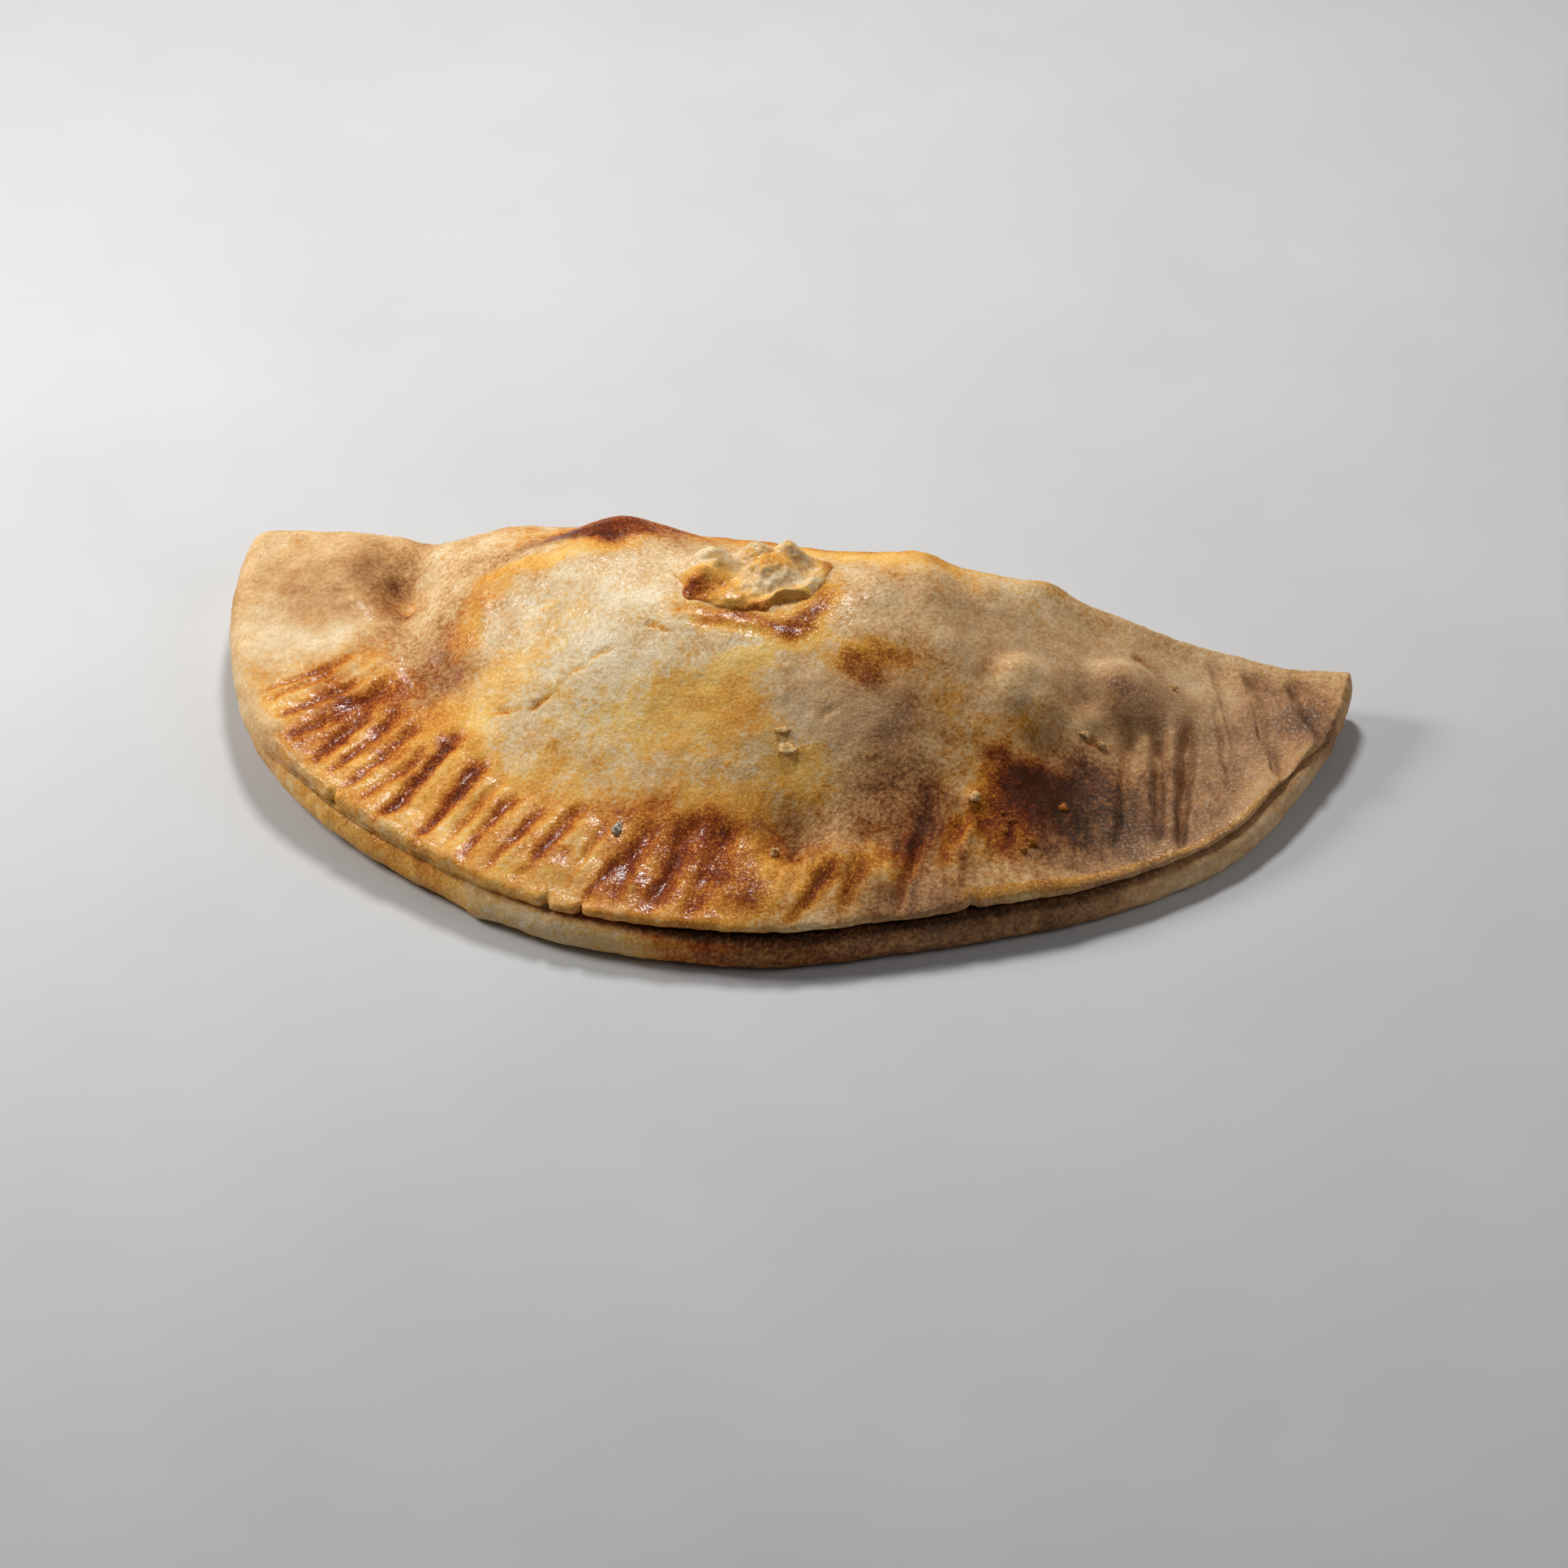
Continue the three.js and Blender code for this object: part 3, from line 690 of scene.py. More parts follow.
def back_y(x):
    """The outline's back edge: the fold, with its rounded tips."""
    right = np.clip((x - HALF_LENGTH + CORNER_RIGHT) / CORNER_RIGHT, 0, 1)
    left = np.clip((-x - HALF_LENGTH + CORNER_LEFT) / CORNER_LEFT, 0, 1)
    drop = CORNER_RIGHT * (1 - np.sqrt(1 - right**2)) + CORNER_LEFT * (1 - np.sqrt(1 - left**2))
    return fold_y(x) - drop, right**2 + left**2


def front_rim(turn):
    corner = lerp(CORNER_LEFT, CORNER_RIGHT, (1 + np.cos(turn)) / 2)
    waver = RIM_WAVER * np.sin(turn) * ripples(turn, RIM_WAVES)
    reach = (DEPTH - corner) * (1 - LEAN * np.cos(turn)) + waver
    from_left = 180 - np.degrees(turn)
    swell = sum(out * bell((from_left - at) / half) for at, half, out in RIM_SWELLS)
    x = (HALF_LENGTH + swell) * np.cos(turn)
    return np.stack([x, -corner - (reach + swell) * np.sin(turn)], -1)


def rim_gap(x, y):
    """Distance in from the front rim, along the line to the middle of the fold."""
    depth = DEPTH * (1 - LEAN * np.clip(x / HALF_LENGTH, -1, 1))
    share = np.hypot(x / HALF_LENGTH, y / depth) + 1e-6
    return np.hypot(x, y) * (1 / share - 1)


def stuffed(x):
    return plateau(x, *FILLING_SPAN)


def lift(x):
    left = LEFT_TIP_LIFT * (1 - smoothstep(x, -HALF_LENGTH, LEFT_LIFT_START))
    return left + RIGHT_TIP_LIFT * smoothstep(x, RIGHT_LIFT_START, HALF_LENGTH)


def edge_round(x):
    return lerp(EDGE_ROUND_LEFT, EDGE_ROUND_RIGHT, smoothstep(x, -HALF_LENGTH, HALF_LENGTH))


def rim_height(x):
    return RIM_HEIGHT - RIGHT_THINNER * smoothstep(x, *RIGHT_THIN_SPAN)


def edge_height(x):
    return EDGE_HEIGHT * rim_height(x) / RIM_HEIGHT + FOLD_RISE * stuffed(x)


def dome(x, y):
    side = np.arctan2(-y, x) / np.pi
    left = smoothstep(side, 1 - SIDE_SECTOR, 1)
    right = 1 - smoothstep(side, 0, SIDE_SECTOR)
    flange = FLANGE + (FLANGE_LEFT - FLANGE) * left + (FLANGE_RIGHT - FLANGE) * right
    rise = DOME_RISE * (1 + RIGHT_GENTLER * right - LEFT_STEEPER * left)
    up = np.clip((rim_gap(x, y) - flange) / rise, 0, 1)
    return DOME_HEIGHT * np.sin(up * np.pi / 2) ** DOME_EASE


def follow(stroke, x, y):
    """Distances along a stroke from its rim end and across it, and its length."""
    start = np.array(stroke.outer, float)
    run = np.array(stroke.inner, float) - start
    length = np.hypot(*run)
    run /= length
    along = (x - start[0]) * run[0] + (y - start[1]) * run[1]
    across = (x - start[0]) * run[1] - (y - start[1]) * run[0]
    return along, across, length


def pressed_lines(strokes, x, y):
    """Depth of pressed lines, and how brown they are."""
    depth = np.zeros_like(x)
    brown = np.zeros_like(x)
    wander = plan_layered(x, y, LINE_WANDER)
    uneven = 1 + plan_layered(x, y, LINE_UNEVEN)
    stain = plan_layered(x, y, LINE_STAIN)
    for stroke in strokes:
        along, across, length = follow(stroke, x, y)
        soft = min(LINE_SOFT, length / 3)
        ends = plateau(along, -soft, soft, length - soft / 2, length + soft / 2)
        inner = lerp(LINE_AT_RIM, 1, smoothstep(along, 0, length))
        off = (across + wander) / (stroke.half_width * inner)
        shoulder = SHOULDER * bell(np.abs(off) - SHOULDER_AT)
        depth += stroke.depth * ends * inner * uneven * (bell(off) - shoulder)
        tint = bell((np.abs(off) + stain) / STAIN_WIDTH)
        brown = np.maximum(brown, stroke.brown * np.clip(uneven, *STAIN_RANGE) * ends * tint)
    return depth, brown


def ledges(x, y):
    """Drop of the skin to the right of each ledge's line."""
    drop = np.zeros_like(x)
    wander = plan_layered(x, y, LEDGE_WANDER)
    for line in LEDGES:
        along, across, length = follow(line, x, y)
        across = across + wander
        ends = plateau(along, -LEDGE_PAST, LEDGE_INSIDE, length - LEDGE_INSIDE, length + LEDGE_PAST)
        rise = np.exp(-np.maximum(across, 0) / line.half_width)
        drop += line.depth * ends * smoothstep(across, -LEDGE_DROP, LEDGE_DROP) * rise
    return drop


def streaks(x, y):
    """Fine drag lines on the flange, which run the way the fork was pulled."""
    turn = np.arctan2(x - DRAG_CENTRE[0], DRAG_CENTRE[1] - y)
    reach = np.hypot(x - DRAG_CENTRE[0], y - DRAG_CENTRE[1])
    lines = sum(plan_layered(turn * DRAG_REACH, reach / drawn, [layer]) for drawn, layer in DRAG_LINES)
    return lines * plateau(rim_gap(x, y), *DRAG_BAND) * smoothstep(-y, *DRAG_FRONT)


def skin_waves(x, y):
    waves = (share * np.sin(by_x * x + by_y * y + start) for share, by_x, by_y, start in SKIN_WAVES)
    return WAVE_HEIGHT * sum(waves)


def top_height(x, y):
    gap = rim_gap(x, y)
    crest = rim_height(x) + FLANGE_SLOPE * smoothstep(gap, *FLANGE_SLOPE_SPAN) + dome(x, y)
    edge = edge_height(x)
    inside = fold_y(x) - y
    fold = quarter_round(inside / lerp(edge_round(x), FOLD_ROUND, stuffed(x)))
    skin = bumps_at(BUMPS, x, y) + skin_waves(x, y) * smoothstep(gap, *WAVES_COME_IN)
    skin += DRAG_HEIGHT * streaks(x, y)
    marks = pressed_lines(FORK_MARKS, x, y)[0] * smoothstep(gap, *MARKS_COME_IN)
    thin = THIN_LIP * plateau(x, *THIN_LIP_SPAN) * (1 - smoothstep(gap, *THIN_LIP_FADE))
    pressed = marks + pressed_lines(CREASES, x, y)[0] + ledges(x, y) + thin
    relief = (skin - pressed) * smoothstep(inside, *RELIEF_COMES_IN)
    return lift(x) + edge + (crest - edge) * fold + relief


# Mesh of the pastry


def outline():
    """The plan's outline, counter-clockwise from the left tip, and what the edge is like there."""
    turn = np.linspace(np.pi, 0, COLUMNS + 1)
    rim = front_rim(turn)
    even = np.linspace(1, -1, COLUMNS + 1)[1:-1]
    x = HALF_LENGTH * lerp(np.cos(turn[-2:0:-1]), even, BACK_EVEN)
    y, corner = back_y(x)
    plan = np.concatenate([rim, np.stack([x, y], -1)])
    open_edge = np.concatenate([np.ones(len(rim)), corner])
    from_left = np.concatenate([180 - np.degrees(turn), np.zeros(len(x))])
    lips = plateau(from_left, *LIPS_SPAN)
    run = np.roll(plan, -1, 0) - np.roll(plan, 1, 0)
    run /= np.hypot(*run.T)[:, None]
    inward = (CENTRE - plan) * (1 - SPINE, 1)
    inward /= (run[:, 0] * inward[:, 1] - run[:, 1] * inward[:, 0])[:, None]
    return plan, open_edge, from_left, lips, inward


def lip_section():
    """Rows of inset, height and kind up the rim's section: the lower lip, the seam, the upper lip."""
    rows = []
    for a in np.radians(np.linspace(*LOWER_TURN, LOWER_STEPS + 1)):
        rows.append((LOWER_ROUND * (1 - math.cos(a)), LOWER_ROUND * (1 + math.sin(a)), "lower"))
    for inset, height in SEAM_ROWS:
        rows.append((SEAM_INSET + inset, SEAM_HEIGHT + height, "seam"))
    for a in np.radians(np.linspace(*UPPER_TURN, UPPER_STEPS + 1)):
        height = RIM_HEIGHT - UPPER_HALF + UPPER_HALF * math.sin(a)
        rows.append((UPPER_ROUND * (1 - math.cos(a)), height, "upper"))
    return rows


def lip_row(row, from_left, plan, top):
    """A section row's inset and height all round the rim, where the lips vary."""
    inset, height, kind = row
    thick = np.interp(from_left, LIP_PLACES, LIP_THICK)
    back = np.interp(from_left, LIP_PLACES, LIP_BACK)
    spots = np.column_stack([plan, np.full(len(plan), height)])
    ragged = layered(spots, LIP_RAGS) * np.interp(from_left, LIP_PLACES, LIP_RAGGED)
    if kind == "lower":
        return inset + LOWER_RAGGED * ragged, height * thick
    share = (height - SEAM_HEIGHT) / (RIM_HEIGHT - SEAM_HEIGHT)
    height = lerp(SEAM_HEIGHT * thick, top, share)
    if kind == "seam":
        return inset * np.interp(from_left, LIP_PLACES, SEAM_DEEP) + back + ragged, height
    in_front = plan[:, 1] < NOTCH_LINE
    notches = sum(deep * bell((plan[:, 0] - x) / NOTCH_HALF) for x, deep in LIP_NOTCHES)
    nose = np.interp(from_left, LIP_PLACES, LIP_NOSE)
    return inset * nose + back + ragged + notches * in_front, height


def edge_rows():
    """Rings of points round the edge, from below, with the seam's painted shade and how far they are
    lower lip and brim.
    """
    plan, open_edge, from_left, lips, inward = outline()
    section = lip_section()
    # How strongly painted shade darkens the seam's crevice, round the rim
    dark = np.interp(from_left, LIP_PLACES, PAINTED_SEAM_SHADE)
    rows, seam_shades, lowers, brims = [], [], [], []
    round_off = edge_round(plan[:, 0])
    under = lerp(round_off, FOLD_UNDERCUT, stuffed(plan[:, 0]) * (1 - open_edge))
    for k, row in enumerate(section):
        turn = lerp(-np.pi / 2, np.pi / 2, k / (len(section) - 1))
        plain_inset = (under if turn < 0 else round_off) * (1 - math.cos(turn))
        lip_inset = lip_row(row, from_left, plan, 0)[0]
        place = plan + inward * lerp(plain_inset, lip_inset, lips)[:, None]
        x, y = place.T
        floor = lift(x)
        edge = edge_height(x)
        top = top_height(x, y) - floor
        if turn < 0:
            plain = edge * (1 + math.sin(turn))
        else:
            plain = edge + (top - edge) * lerp(1, math.sin(turn), open_edge)
        lipped = lip_row(row, from_left, plan, top)[1]
        rows.append(np.stack([x, y, floor + lerp(plain, lipped, lips)], -1))
        seam_shades.append(lips * dark * bell((row[1] - SEAM_HEIGHT) / PAINTED_SEAM_SPREAD))
        lowers.append(lips * (row[2] == "lower"))
        brims.append(lips * smoothstep(row[1], RIM_HEIGHT - UPPER_HALF, RIM_HEIGHT))
    return np.array(rows), np.array(seam_shades), np.array(lowers), np.array(brims)


def lens(rim, back, rows, height):
    """Points between the rim's and the back's inner rings, column by column, without those two."""
    shares = np.linspace(0, 1, rows + 1)[1:-1]
    plan = lerp(back[:, None, :2], rim[:, None, :2], shares[None, :, None])
    x, y = plan[..., 0], plan[..., 1]
    return np.stack([x, y, height(x, y)], -1)


def lens_faces(ring_start, inner_start, rows):
    """Quads of a lens, as seen from above, between ring points and inner points."""
    ring = 2 * COLUMNS
    index = np.zeros((COLUMNS + 1, rows + 1), int)
    columns = np.arange(COLUMNS + 1)
    index[:] = (ring_start + columns)[:, None]
    index[:, 0] = ring_start + (ring - columns) % ring
    index[0, :] = ring_start
    index[-1, :] = ring_start + COLUMNS
    count = (COLUMNS - 1) * (rows - 1)
    index[1:-1, 1:-1] = inner_start + np.arange(count).reshape(COLUMNS - 1, rows - 1)
    quads = np.stack([index[:-1, 1:], index[1:, 1:], index[1:, :-1], index[:-1, :-1]], -1)
    return quads.reshape(-1, 4)


def band_faces(rows, ring):
    """Quads between rings of points, one ring after the other."""
    k, i = np.meshgrid(np.arange(rows - 1), np.arange(ring), indexing="ij")
    after = (i + 1) % ring
    low, high = k * ring, (k + 1) * ring
    return np.stack([low + i, low + after, high + after, high + i], -1).reshape(-1, 4)


def crust_arrays():
    """The crust's points and faces, the seam's painted shade at each point, and how far each is lower
    lip and upper brim.
    """
    rows, seam_shades, lowers, brims = edge_rows()
    count, ring = rows.shape[:2]
    back = (ring - np.arange(COLUMNS + 1)) % ring
    top = lens(rows[-1, : COLUMNS + 1], rows[-1, back], TOP_ROWS, top_height)[1:-1]
    under = lens(rows[0, : COLUMNS + 1], rows[0, back], UNDER_ROWS, lambda x, y: lift(x))[1:-1]
    parts = [rows.reshape(-1, 3), top.reshape(-1, 3), under.reshape(-1, 3)]
    points = np.concatenate(parts)
    top_faces = lens_faces((count - 1) * ring, len(parts[0]), TOP_ROWS)
    under_faces = lens_faces(0, len(parts[0]) + len(parts[1]), UNDER_ROWS)[:, ::-1]
    faces = np.concatenate([band_faces(count, ring), top_faces, under_faces])
    rest = np.zeros(len(points) - count * ring)
    return points, faces, [np.append(share, rest) for share in (seam_shades, lowers, brims)]


def corner_lists(faces):
    """Faces as lists, with a corner that is named twice left out."""
    return [list(dict.fromkeys(face)) for face in faces.tolist()]


def point_normals(points, faces):
    a, b, c, d = (points[faces[:, k]] for k in range(4))
    across = np.cross(c - a, d - b)
    normals = np.zeros_like(points)
    for k in range(4):
        np.add.at(normals, faces[:, k], across)
    return normals / (np.linalg.norm(normals, axis=1)[:, None] + 1e-9)


def add_object(name, data):
    made = bpy.data.objects.new(name, data)
    bpy.context.scene.collection.objects.link(made)
    return made


def add_piece(name, mesh, material):
    mesh.materials.append(material)
    piece = add_object(name, mesh)
    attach(piece, "root")
    return piece


def dough_piece(name, points, polygons, fields, material):
    """A smooth piece of dough, with the fields that its material reads."""
    mesh = bpy.data.meshes.new(name)
    mesh.from_pydata((to_part(points) * MM).tolist(), [], polygons)
    mesh.polygons.foreach_set("use_smooth", np.ones(len(mesh.polygons), bool))
    for key, values in zip(FIELDS, fields):
        mesh.attributes.new(key, "FLOAT", "POINT").data.foreach_set("value", values.astype(np.float32))
    return add_piece(name, mesh, material)


def to_part(points):
    """Moves points from the fold's frame to the part's, which starts in the middle of the footprint."""
    plan = outline()[0]
    low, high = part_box("pastry")
    middle = np.array(((low + high) / 2)[:2]) / MM
    shift = middle - (plan.min(0) + plan.max(0)) / 2
    return points + np.append(shift, 0)


def skin_fields(points):
    """How baked, amber, floury and glossy the skin is, and how honey-brown its wash."""
    x, y = points.T[:2]
    warp_x = x + layered(points, WARP_X)
    warp_y = y + layered(points, WARP_Y)
    gap = rim_gap(x, y)
    from_left = 180 - np.degrees(np.arctan2(-y / DEPTH, x / HALF_LENGTH))
    wash = plateau(from_left, *WASH_SPAN) * plateau(rim_gap(warp_x, warp_y), *WASH_BAND)
    grooves = pressed_lines(FORK_MARKS, x, y)[1] * smoothstep(gap, *GROOVES_COME_IN)
    creases = CREASE_SHARE * pressed_lines(CREASES, x, y)[1]
    brown = np.clip(np.maximum(grooves, creases), 0, GROOVE_MOST)
    done = PLAIN_DONE + blots_at(BAKE_AND_SHADE_BLOTS, warp_x, warp_y) + WASH_DONE * wash
    done += layered(points, SKIN_MOTTLE) - DRAG_PALER * streaks(x, y)
    done = np.maximum(done, lerp(done, GROOVE_DONE, brown))
    amber = blots_at(AMBER_BLOTS, warp_x, warp_y) + GROOVE_AMBER * brown + WASH_AMBER * wash
    amber = np.clip(amber, 0, 1)
    gloss = np.clip(blots_at(GLOSS_BLOTS, warp_x, warp_y) + WASH_GLOSS * wash, 0, 1)
    flour = np.clip(blots_at(FLOUR_BLOTS, warp_x, warp_y), 0, 1) * (1 - FLOUR_HIDDEN * amber)
    return done, amber, flour, gloss, smoothstep(warp_x, *HONEY_SPAN)


def crust_fields(points, seam, lower, brim):
    """The skin's fields with those of the lips, back and underside, and how even the colour is; the seam
    and the lower lip's front get painted shade.
    """
    done, amber, flour, gloss, honey = skin_fields(points)
    x, y, z = points.T
    floury_lip = lower * smoothstep(x, *FLOURY_LIP_SPAN)
    golden_lip = lower - floury_lip
    pale_lip = lower * plateau(x, *PALE_LIP_SPAN)
    left_lip = lower * (1 - smoothstep(x, *LEFT_LIP_SPAN))
    # Painted shade on the front of the lower lip: darker, less floury and less amber there
    dark = plateau(x, *SHADED_LIP_SPAN)
    lip_flour = (LIP_FLOUR - SHADED_FLOUR_LESS * dark) * floury_lip
    flour = np.maximum(flour, lip_flour + PALE_FLOUR * pale_lip) * (1 - seam)
    lip_bake_and_shade = LIP_DONE + SHADED_LIP_MORE * dark - RIGHT_LESS * smoothstep(x, *RIGHT_LIP_SPAN)
    lip_bake_and_shade += layered(points, LIP_MOTTLE) - PALE_LESS * pale_lip - LEFT_LESS * left_lip
    done = lerp(done, lip_bake_and_shade, lower)
    lip_amber = golden_lip * (1 - SHADED_AMBER_LESS * dark)
    lip_amber -= PALE_AMBER_LESS * pale_lip + LEFT_AMBER_LESS * left_lip
    amber = np.maximum(amber, lip_amber)
    gloss = np.maximum(gloss, LIP_GLOSS * golden_lip)
    amber_brim = brim * plateau(x, *BRIM_SPAN)
    done = lerp(done, BRIM_DONE, BRIM_COVER * amber_brim)
    amber = np.maximum(amber, amber_brim)
    gloss = np.maximum(gloss, BRIM_GLOSS * amber_brim)
    behind = smoothstep(y, *BACK_SPAN) * (1 - smoothstep(z, *BACK_TOP))
    done = lerp(done, BACK_DONE + layered(points, BACK_MOTTLE), behind)
    under = (1 - smoothstep(z, *UNDER_TOP)) * (1 - lower)
    done = lerp(done, UNDER_DONE + layered(points, UNDER_MOTTLE), under)
    # Painted shade: the seam's crevice darkened to nearly burnt
    done = lerp(done, PAINTED_SEAM_DONE, seam)
    amber *= (1 - floury_lip) * (1 - seam)
    gloss *= 1 - floury_lip
    plain = CALM_TIP * np.maximum(1 - smoothstep(x, *CALM_TIP_SPAN), behind)
    calm = np.maximum(plain, np.maximum(amber, flour))
    return done, amber, flour, gloss, honey, calm


def crust_piece():
    points, faces, edge = crust_arrays()
    relief = layered(points, CRUST_RELIEF)
    relief += smoothstep(points[:, 0], *RIGHT_RELIEF_SPAN) * layered(points, RIGHT_RELIEF)
    fields = crust_fields(points, *edge)
    points = points + point_normals(points, faces) * relief[:, None]
    points[:, 2] = np.maximum(points[:, 2], 0)
    piece = dough_piece("crust", points, corner_lists(faces), fields, crust_material("crust"))
    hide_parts("pastry")


# The scrap of dough


def lobes_at(u, v):
    """Height of the scrap's lumps, blended where they meet."""
    total = np.zeros_like(u)
    for lobe in PATCH_LOBES:
        away = np.hypot(u - lobe.x, v - lobe.y) / lobe.radius
        total += np.exp(lobe.height * np.exp(-LOBE_FALL * away**2) / LOBE_BLEND)
    return LOBE_BLEND * np.log(total / len(PATCH_LOBES))


def patch_arrays():
    """The scrap's points, ring by ring from below, its faces, and the points' places on it."""
    angle = np.linspace(0, 2 * np.pi, PATCH_STEPS, endpoint=False)
    torn = 1 + ripples(angle, PATCH_TEAR)
    side = np.linspace(-np.pi / 2, np.pi / 2, PATCH_EDGE_ROWS)
    edge = 1 - PATCH_EDGE * (1 - np.cos(side))
    shares = np.concatenate([[PATCH_UNDER], edge, np.linspace(*PATCH_TOP, PATCH_TOP_ROWS)])
    heights = np.concatenate([[0], 0.5 * (1 + np.sin(side)), np.ones(PATCH_TOP_ROWS)])
    spread = shares[:, None] * torn
    ring = np.stack([np.cos(angle), np.sin(angle)])
    ring = np.sign(ring) * np.abs(ring) ** PATCH_BLUNT
    u = spread * PATCH_HALF[0] * ring[0]
    v = spread * PATCH_HALF[1] * ring[1]
    x = PATCH_PLACE[0] + u * math.cos(PATCH_TURN) - v * math.sin(PATCH_TURN)
    y = PATCH_PLACE[1] + u * math.sin(PATCH_TURN) + v * math.cos(PATCH_TURN)
    side_on = (np.degrees(angle) + 180) % 360 - 180
    roll = PATCH_ROLL * plateau(side_on, *PATCH_ROLL_SPAN) * (1 + ripples(angle, PATCH_ROLL_WAVES))
    roll = roll * bell((shares[:, None] - PATCH_ROLL_AT) / PATCH_ROLL_HALF)
    lobes = lobes_at(u, v) * (1 - shares[:, None] ** PATCH_EDGE_POWER)
    thick = heights[:, None] * (PATCH_THICKNESS + PATCH_SINK + lobes + roll)
    z = top_height(x, y) - PATCH_SINK + thick
    points = np.stack([x, y, z], -1).reshape(-1, 3)
    return points, band_faces(len(shares), PATCH_STEPS), u.ravel(), v.ravel()


def patch_piece():
    points, faces, u, v = patch_arrays()
    relief = layered(points, PATCH_RELIEF)
    done = PATCH_PLAIN_DONE + blots_at(PATCH_DONE, u, v) + layered(points, PATCH_MOTTLE)
    gloss = np.clip(PATCH_GLOSS + layered(points, PATCH_SHEEN), 0, 1)
    amber = np.clip(PATCH_PLAIN_AMBER + blots_at(PATCH_AMBER, u, v), 0, 1)
    none = np.zeros(len(done))
    fields = (done, amber, none, gloss, none, amber)
    ring = np.arange(PATCH_STEPS)
    ends = [ring[::-1].tolist(), (len(points) - PATCH_STEPS + ring).tolist()]
    points = points + point_normals(points, faces) * relief[:, None]
    material = crust_material("patch_dough")
    piece = dough_piece("dough_scrap", points, faces.tolist() + ends, fields, material)
    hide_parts("dough_patch")


# Crumbs


def crumb_piece(name, crumbs, material, seed):
    """Small rough lumps, sunk a little into the skin, joined in one piece."""
    rough = [(strength, size, seed + k) for k, (strength, size) in enumerate(CRUMB_ROUGH)]
    made = bmesh.new()
    for place, halves in crumbs:
        ball = bmesh.ops.create_icosphere(made, subdivisions=CRUMB_SPLITS, radius=1)["verts"]
        unit = np.array([v.co for v in ball])
        spots = unit + CRUMB_APART * seed + np.array([*place, 0])
        unit *= (1 + layered(spots, rough))[:, None]
        level = float(top_height(np.array([place[0]]), np.array([place[1]]))[0])
        middle = np.array([*place, level + CRUMB_STAND * halves[2]])
        for vert, spot in zip(ball, to_part(unit * halves + middle) * MM):
            vert.co = spot
    for face in made.faces:
        face.smooth = True
    mesh = bpy.data.meshes.new(name)
    made.to_mesh(mesh)
    made.free()
    piece = add_piece(name, mesh, material)


# Materials


def srgb(red, green, blue):
    """A colour given as 0 to 255 on screen, as the shader wants it."""
    return tuple(((c / 255 + 0.055) / 1.055) ** 2.4 for c in (red, green, blue)) + (1,)


# Shades of the dough, plain and under wash, from unbaked to burnt
SHADES = (0, 0.2, 0.4, 0.55, 0.7, 0.84, 1)
BAKED = (
    srgb(242, 226, 196),
    srgb(232, 208, 167),
    srgb(213, 173, 120),
    srgb(189, 141, 88),
    srgb(150, 102, 58),
    srgb(102, 61, 32),
    srgb(44, 28, 16),
)
WASHED = (
    srgb(248, 222, 164),
    srgb(242, 203, 124),
    srgb(230, 174, 84),
    srgb(212, 142, 56),
    srgb(172, 92, 28),
    srgb(120, 48, 10),
    srgb(62, 25, 3),
)
HONEY = (0.86, 1.02, 0.7, 1)
FLOUR_VEIL = srgb(160, 130, 104)
FLOUR_GRAIN = srgb(240, 222, 194)
CRUMB_COLOURS = (srgb(226, 190, 132), srgb(180, 128, 66))
PEPPER_COLOURS = (srgb(196, 186, 170), srgb(84, 78, 70))
GLAZE_COLOURS = (srgb(176, 108, 36), srgb(118, 60, 18))
GLAZE_ROUGHNESS = 0.12
# Crumbs: roughness, size of their grain, where it turns from pale to dark, its bump and its height
CRUMB_ROUGHNESS = 0.6
CRUMB_GRAIN = 0.5
CRUMB_SPAN = (0.35, 0.65)
CRUMB_BUMP = (0.8, 0.3)

# The crust's grains (mottle, blotch, speck, fine and dust): millimetres, detail and roughness
GRAINS = ((5, 3, 0.6), (1.8, 3, 0.6), (0.8, 3, 0.65), (0.5, 2, 0.7), (0.3, 1, 0.55))
# How far the first one and the finer ones swing the shade, and how far all but dust swing the wash
MOTTLE_SWING = 0.4
FINER_SWINGS = (0.2, 0.3, 0.8, 0.3)
WASH_SWINGS = (0.8, 1, 0.8, 0.8)
# How much of the finer swing calm places keep; where pale grains of wash are painted lighter as
# glints, and how much paler; where wash pools; the shades that turn honey-brown, and those where
# it fades, and to what share
CALM_LEAST = 0.4
PAINTED_SPARKLE_SPAN = (0.52, 0.62)
PAINTED_SPARKLE = 0.18
POOL_SPAN = (0.2, 0.65)
HONEY_SHADES = (0.45, 0.7)
HONEY_FADE = (0.8, 0.95)
HONEY_LEAST = 0.4
# How thick the veil of flour is, where its grains show, and how far they cover
VEIL = 0.4
GRAIN_SPAN = (0.55, 0.66)
GRAIN_COVER = 0.4
# The wet wash: its swing by dust, its span, the shine elsewhere, roughness from dry to wet, its coat
WET_SWING = 0.4
WET_SPAN = (0.47, 0.58)
WET_LEAST = 0.1
ROUGHNESS = (0.7, 0.4)
COAT = 0.8
COAT_ROUGHNESS = 0.13
# Heights of specks and fine grain in the bump, and the bump's own in millimetres
SPECK_HEIGHT = 0.16
FINE_HEIGHT = 0.15
BUMP_HEIGHT = 0.6


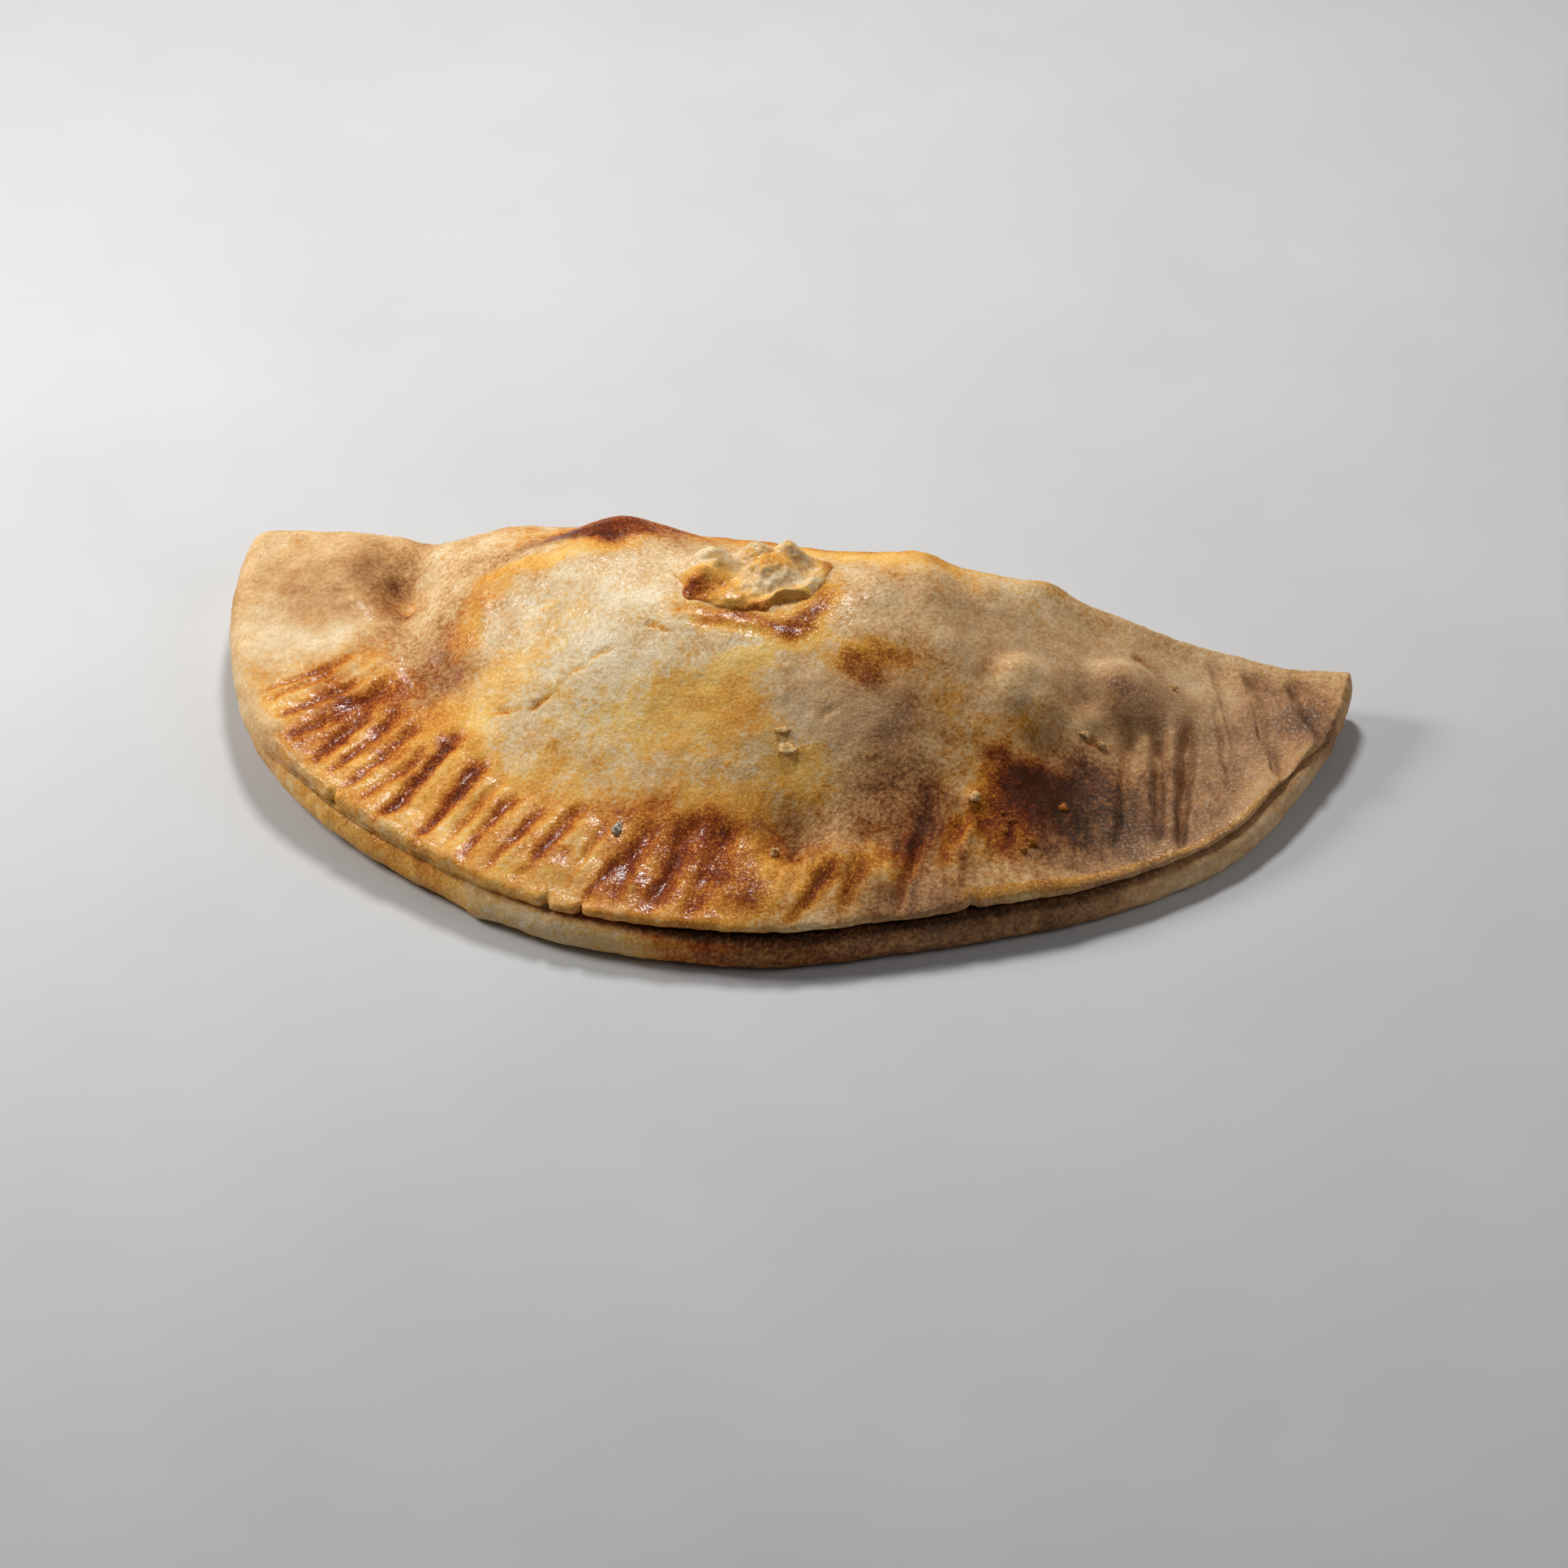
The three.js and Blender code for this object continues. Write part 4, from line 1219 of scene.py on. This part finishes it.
class Graph:
    """Shorter words for making a material's nodes."""

    def __init__(self, name):
        self.material = bpy.data.materials.new(name)
        self.material.use_nodes = True
        self.tree = self.material.node_tree
        self.tree.nodes.clear()

    def node(self, kind, inputs, **settings):
        made = self.tree.nodes.new(kind)
        for key, value in settings.items():
            setattr(made, key, value)
        for key, value in inputs.items():
            if isinstance(value, bpy.types.NodeSocket):
                self.tree.links.new(value, made.inputs[key])
            else:
                made.inputs[key].default_value = value
        return made

    def field(self, name):
        return self.node("ShaderNodeAttribute", {}, attribute_name=name).outputs["Fac"]

    def grain(self, size, detail, roughness=0.55):
        """Noise from 0 to 1 with features of that many millimetres."""
        place = self.node("ShaderNodeTexCoord", {}).outputs["Object"]
        inputs = {"Vector": place, "Scale": 1 / (size * MM), "Detail": detail, "Roughness": roughness}
        return self.node("ShaderNodeTexNoise", inputs).outputs["Fac"]

    def maths(self, operation, a, b):
        return self.node("ShaderNodeMath", {0: a, 1: b}, operation=operation).outputs[0]

    def total(self, first, *others):
        for other in others:
            first = self.maths("ADD", first, other)
        return first

    def times(self, a, b):
        return self.maths("MULTIPLY", a, b)

    def around(self, value, swing):
        """Noise from 0 to 1 turned into a swing about zero."""
        return self.times(self.maths("SUBTRACT", value, 0.5), swing)

    def swings(self, values, swings):
        return self.total(*(self.around(*pair) for pair in zip(values, swings)))

    def between(self, value, low, high, to_low, to_high):
        inputs = {"Value": value, "From Min": low, "From Max": high, "To Min": to_low, "To Max": to_high}
        return self.node("ShaderNodeMapRange", inputs).outputs["Result"]

    def mix(self, factor, a, b, blend="MIX"):
        inputs = {0: factor, 6: a, 7: b}
        return self.node("ShaderNodeMix", inputs, data_type="RGBA", blend_type=blend).outputs[2]

    def ramp(self, value, colours):
        made = self.node("ShaderNodeValToRGB", {"Fac": value})
        elements = made.color_ramp.elements
        while len(elements) < len(SHADES):
            elements.new(0.5)
        for element, place, colour in zip(elements, SHADES, colours):
            element.position = place
            element.color = colour
        return made.outputs["Color"]

    def bump(self, height, strength, tall):
        """Normals of a bump that is so many millimetres tall."""
        inputs = {"Height": height, "Strength": strength, "Distance": tall * MM}
        return self.node("ShaderNodeBump", inputs).outputs["Normal"]

    def surface(self, inputs):
        shader = self.node("ShaderNodeBsdfPrincipled", inputs)
        self.node("ShaderNodeOutputMaterial", {"Surface": shader.outputs[0]})
        return self.material


def crust_material(name):
    g = Graph(name)
    done, amber, flour, gloss, honey, calm = (g.field(key) for key in FIELDS)
    grains = [g.grain(*grain) for grain in GRAINS]
    mottle, blotch, speck, fine, dust = grains
    swing = g.times(g.swings(grains[1:], FINER_SWINGS), g.between(calm, 0, 1, 1, CALM_LEAST))
    shade = g.total(done, g.around(mottle, MOTTLE_SWING), swing)
    # Painted highlights: grains of wash made paler where dust peaks, standing in for glints
    painted_sparkles = g.times(amber, g.between(dust, *PAINTED_SPARKLE_SPAN, 0, PAINTED_SPARKLE))
    shade = g.maths("SUBTRACT", shade, painted_sparkles)
    patchy = g.swings(grains, WASH_SWINGS)
    pooled = g.between(g.total(amber, patchy), *POOL_SPAN, 0, 1)
    honey = g.times(honey, g.between(shade, *HONEY_SHADES, 0, 1))
    honey = g.times(honey, g.between(shade, *HONEY_FADE, 1, HONEY_LEAST))
    washed = g.mix(honey, g.ramp(shade, WASHED), HONEY, "MULTIPLY")
    colour = g.mix(pooled, g.ramp(shade, BAKED), washed)
    colour = g.mix(g.times(flour, VEIL), colour, FLOUR_VEIL)
    floury = g.times(flour, g.between(dust, *GRAIN_SPAN, 0, GRAIN_COVER))
    colour = g.mix(floury, colour, FLOUR_GRAIN)
    wet = g.total(blotch, g.around(dust, WET_SWING))
    shine = g.times(gloss, g.between(wet, *WET_SPAN, WET_LEAST, 1))
    height = g.total(g.times(speck, SPECK_HEIGHT), g.times(fine, FINE_HEIGHT))
    bump = g.bump(height, 1.0, BUMP_HEIGHT)
    return g.surface(
        {
            "Base Color": colour,
            "Roughness": g.between(shine, 0, 1, *ROUGHNESS),
            "Specular IOR Level": 0.1,
            "Coat Weight": g.times(shine, COAT),
            "Coat Roughness": COAT_ROUGHNESS,
            "Coat Normal": bump,
            "Normal": bump,
        }
    )


def crumb_material(name, pale, dark, roughness):
    g = Graph(name)
    speck = g.grain(CRUMB_GRAIN, detail=3)
    return g.surface(
        {
            "Base Color": g.mix(g.between(speck, *CRUMB_SPAN, 0, 1), pale, dark),
            "Roughness": roughness,
            "Specular IOR Level": 0.2,
            "Normal": g.bump(speck, *CRUMB_BUMP),
        }
    )


def floor_material():
    g = Graph("floor")
    tone = g.between(g.grain(40, detail=3), 0.3, 0.7, *FLOOR_GREY)
    colour = g.node("ShaderNodeCombineColor", {0: tone, 1: tone, 2: tone}).outputs[0]
    return g.surface({"Base Color": colour, "Roughness": 0.8})


# Floor, lights and camera


def make_floor():
    mesh = bpy.data.meshes.new("floor")
    corners = [(x * FLOOR_HALF, y * FLOOR_HALF, 0) for x, y in ((-1, -1), (1, -1), (1, 1), (-1, 1))]
    mesh.from_pydata(corners, [], [(0, 1, 2, 3)])
    mesh.materials.append(floor_material())
    floor = add_object("floor", mesh)


def make_lights():
    for name, place, aim, width, power, colour in LAMPS:
        data = bpy.data.lights.new(name, "AREA")
        data.shape = "DISK"
        data.size = width
        data.energy = power
        data.color = colour
        light = add_object(name, data)
        light.location = place
        light.rotation_euler = (Vector(place) - Vector(aim)).to_track_quat("Z", "Y").to_euler()
    world = bpy.data.worlds.new("soft_room")
    world.use_nodes = True
    background = world.node_tree.nodes["Background"]
    background.inputs["Color"].default_value = (1, 1, 1, 1)
    background.inputs["Strength"].default_value = ROOM_STRENGTH
    bpy.context.scene.world = world
    bpy.context.scene.view_settings.view_transform = "Standard"


def make_camera():
    data = bpy.data.cameras.new("camera")
    data.sensor_width = SENSOR
    data.sensor_height = SENSOR
    data.lens = LENS
    camera = add_object("camera", data)
    level = math.cos(ELEVATION)
    back = Vector((math.sin(AZIMUTH) * level, -math.cos(AZIMUTH) * level, math.sin(ELEVATION)))
    camera.location = TARGET + back * DISTANCE
    camera.rotation_euler = back.to_track_quat("Z", "Y").to_euler()
    bpy.context.scene.camera = camera


make_camera()
crust_piece()
patch_piece()
crumb_dough = crumb_material("crumb_dough", *CRUMB_COLOURS, CRUMB_ROUGHNESS)
crumb_piece("crumbs", CRUMBS, crumb_dough, seed=51)
pepper = crumb_material("pepper", *PEPPER_COLOURS, CRUMB_ROUGHNESS)
crumb_piece("pepper_fleck", [FLECK], pepper, seed=52)
glaze = crumb_material("glaze", *GLAZE_COLOURS, GLAZE_ROUGHNESS)
crumb_piece("glaze_beads", BEADS, glaze, seed=53)
make_floor()
make_lights()
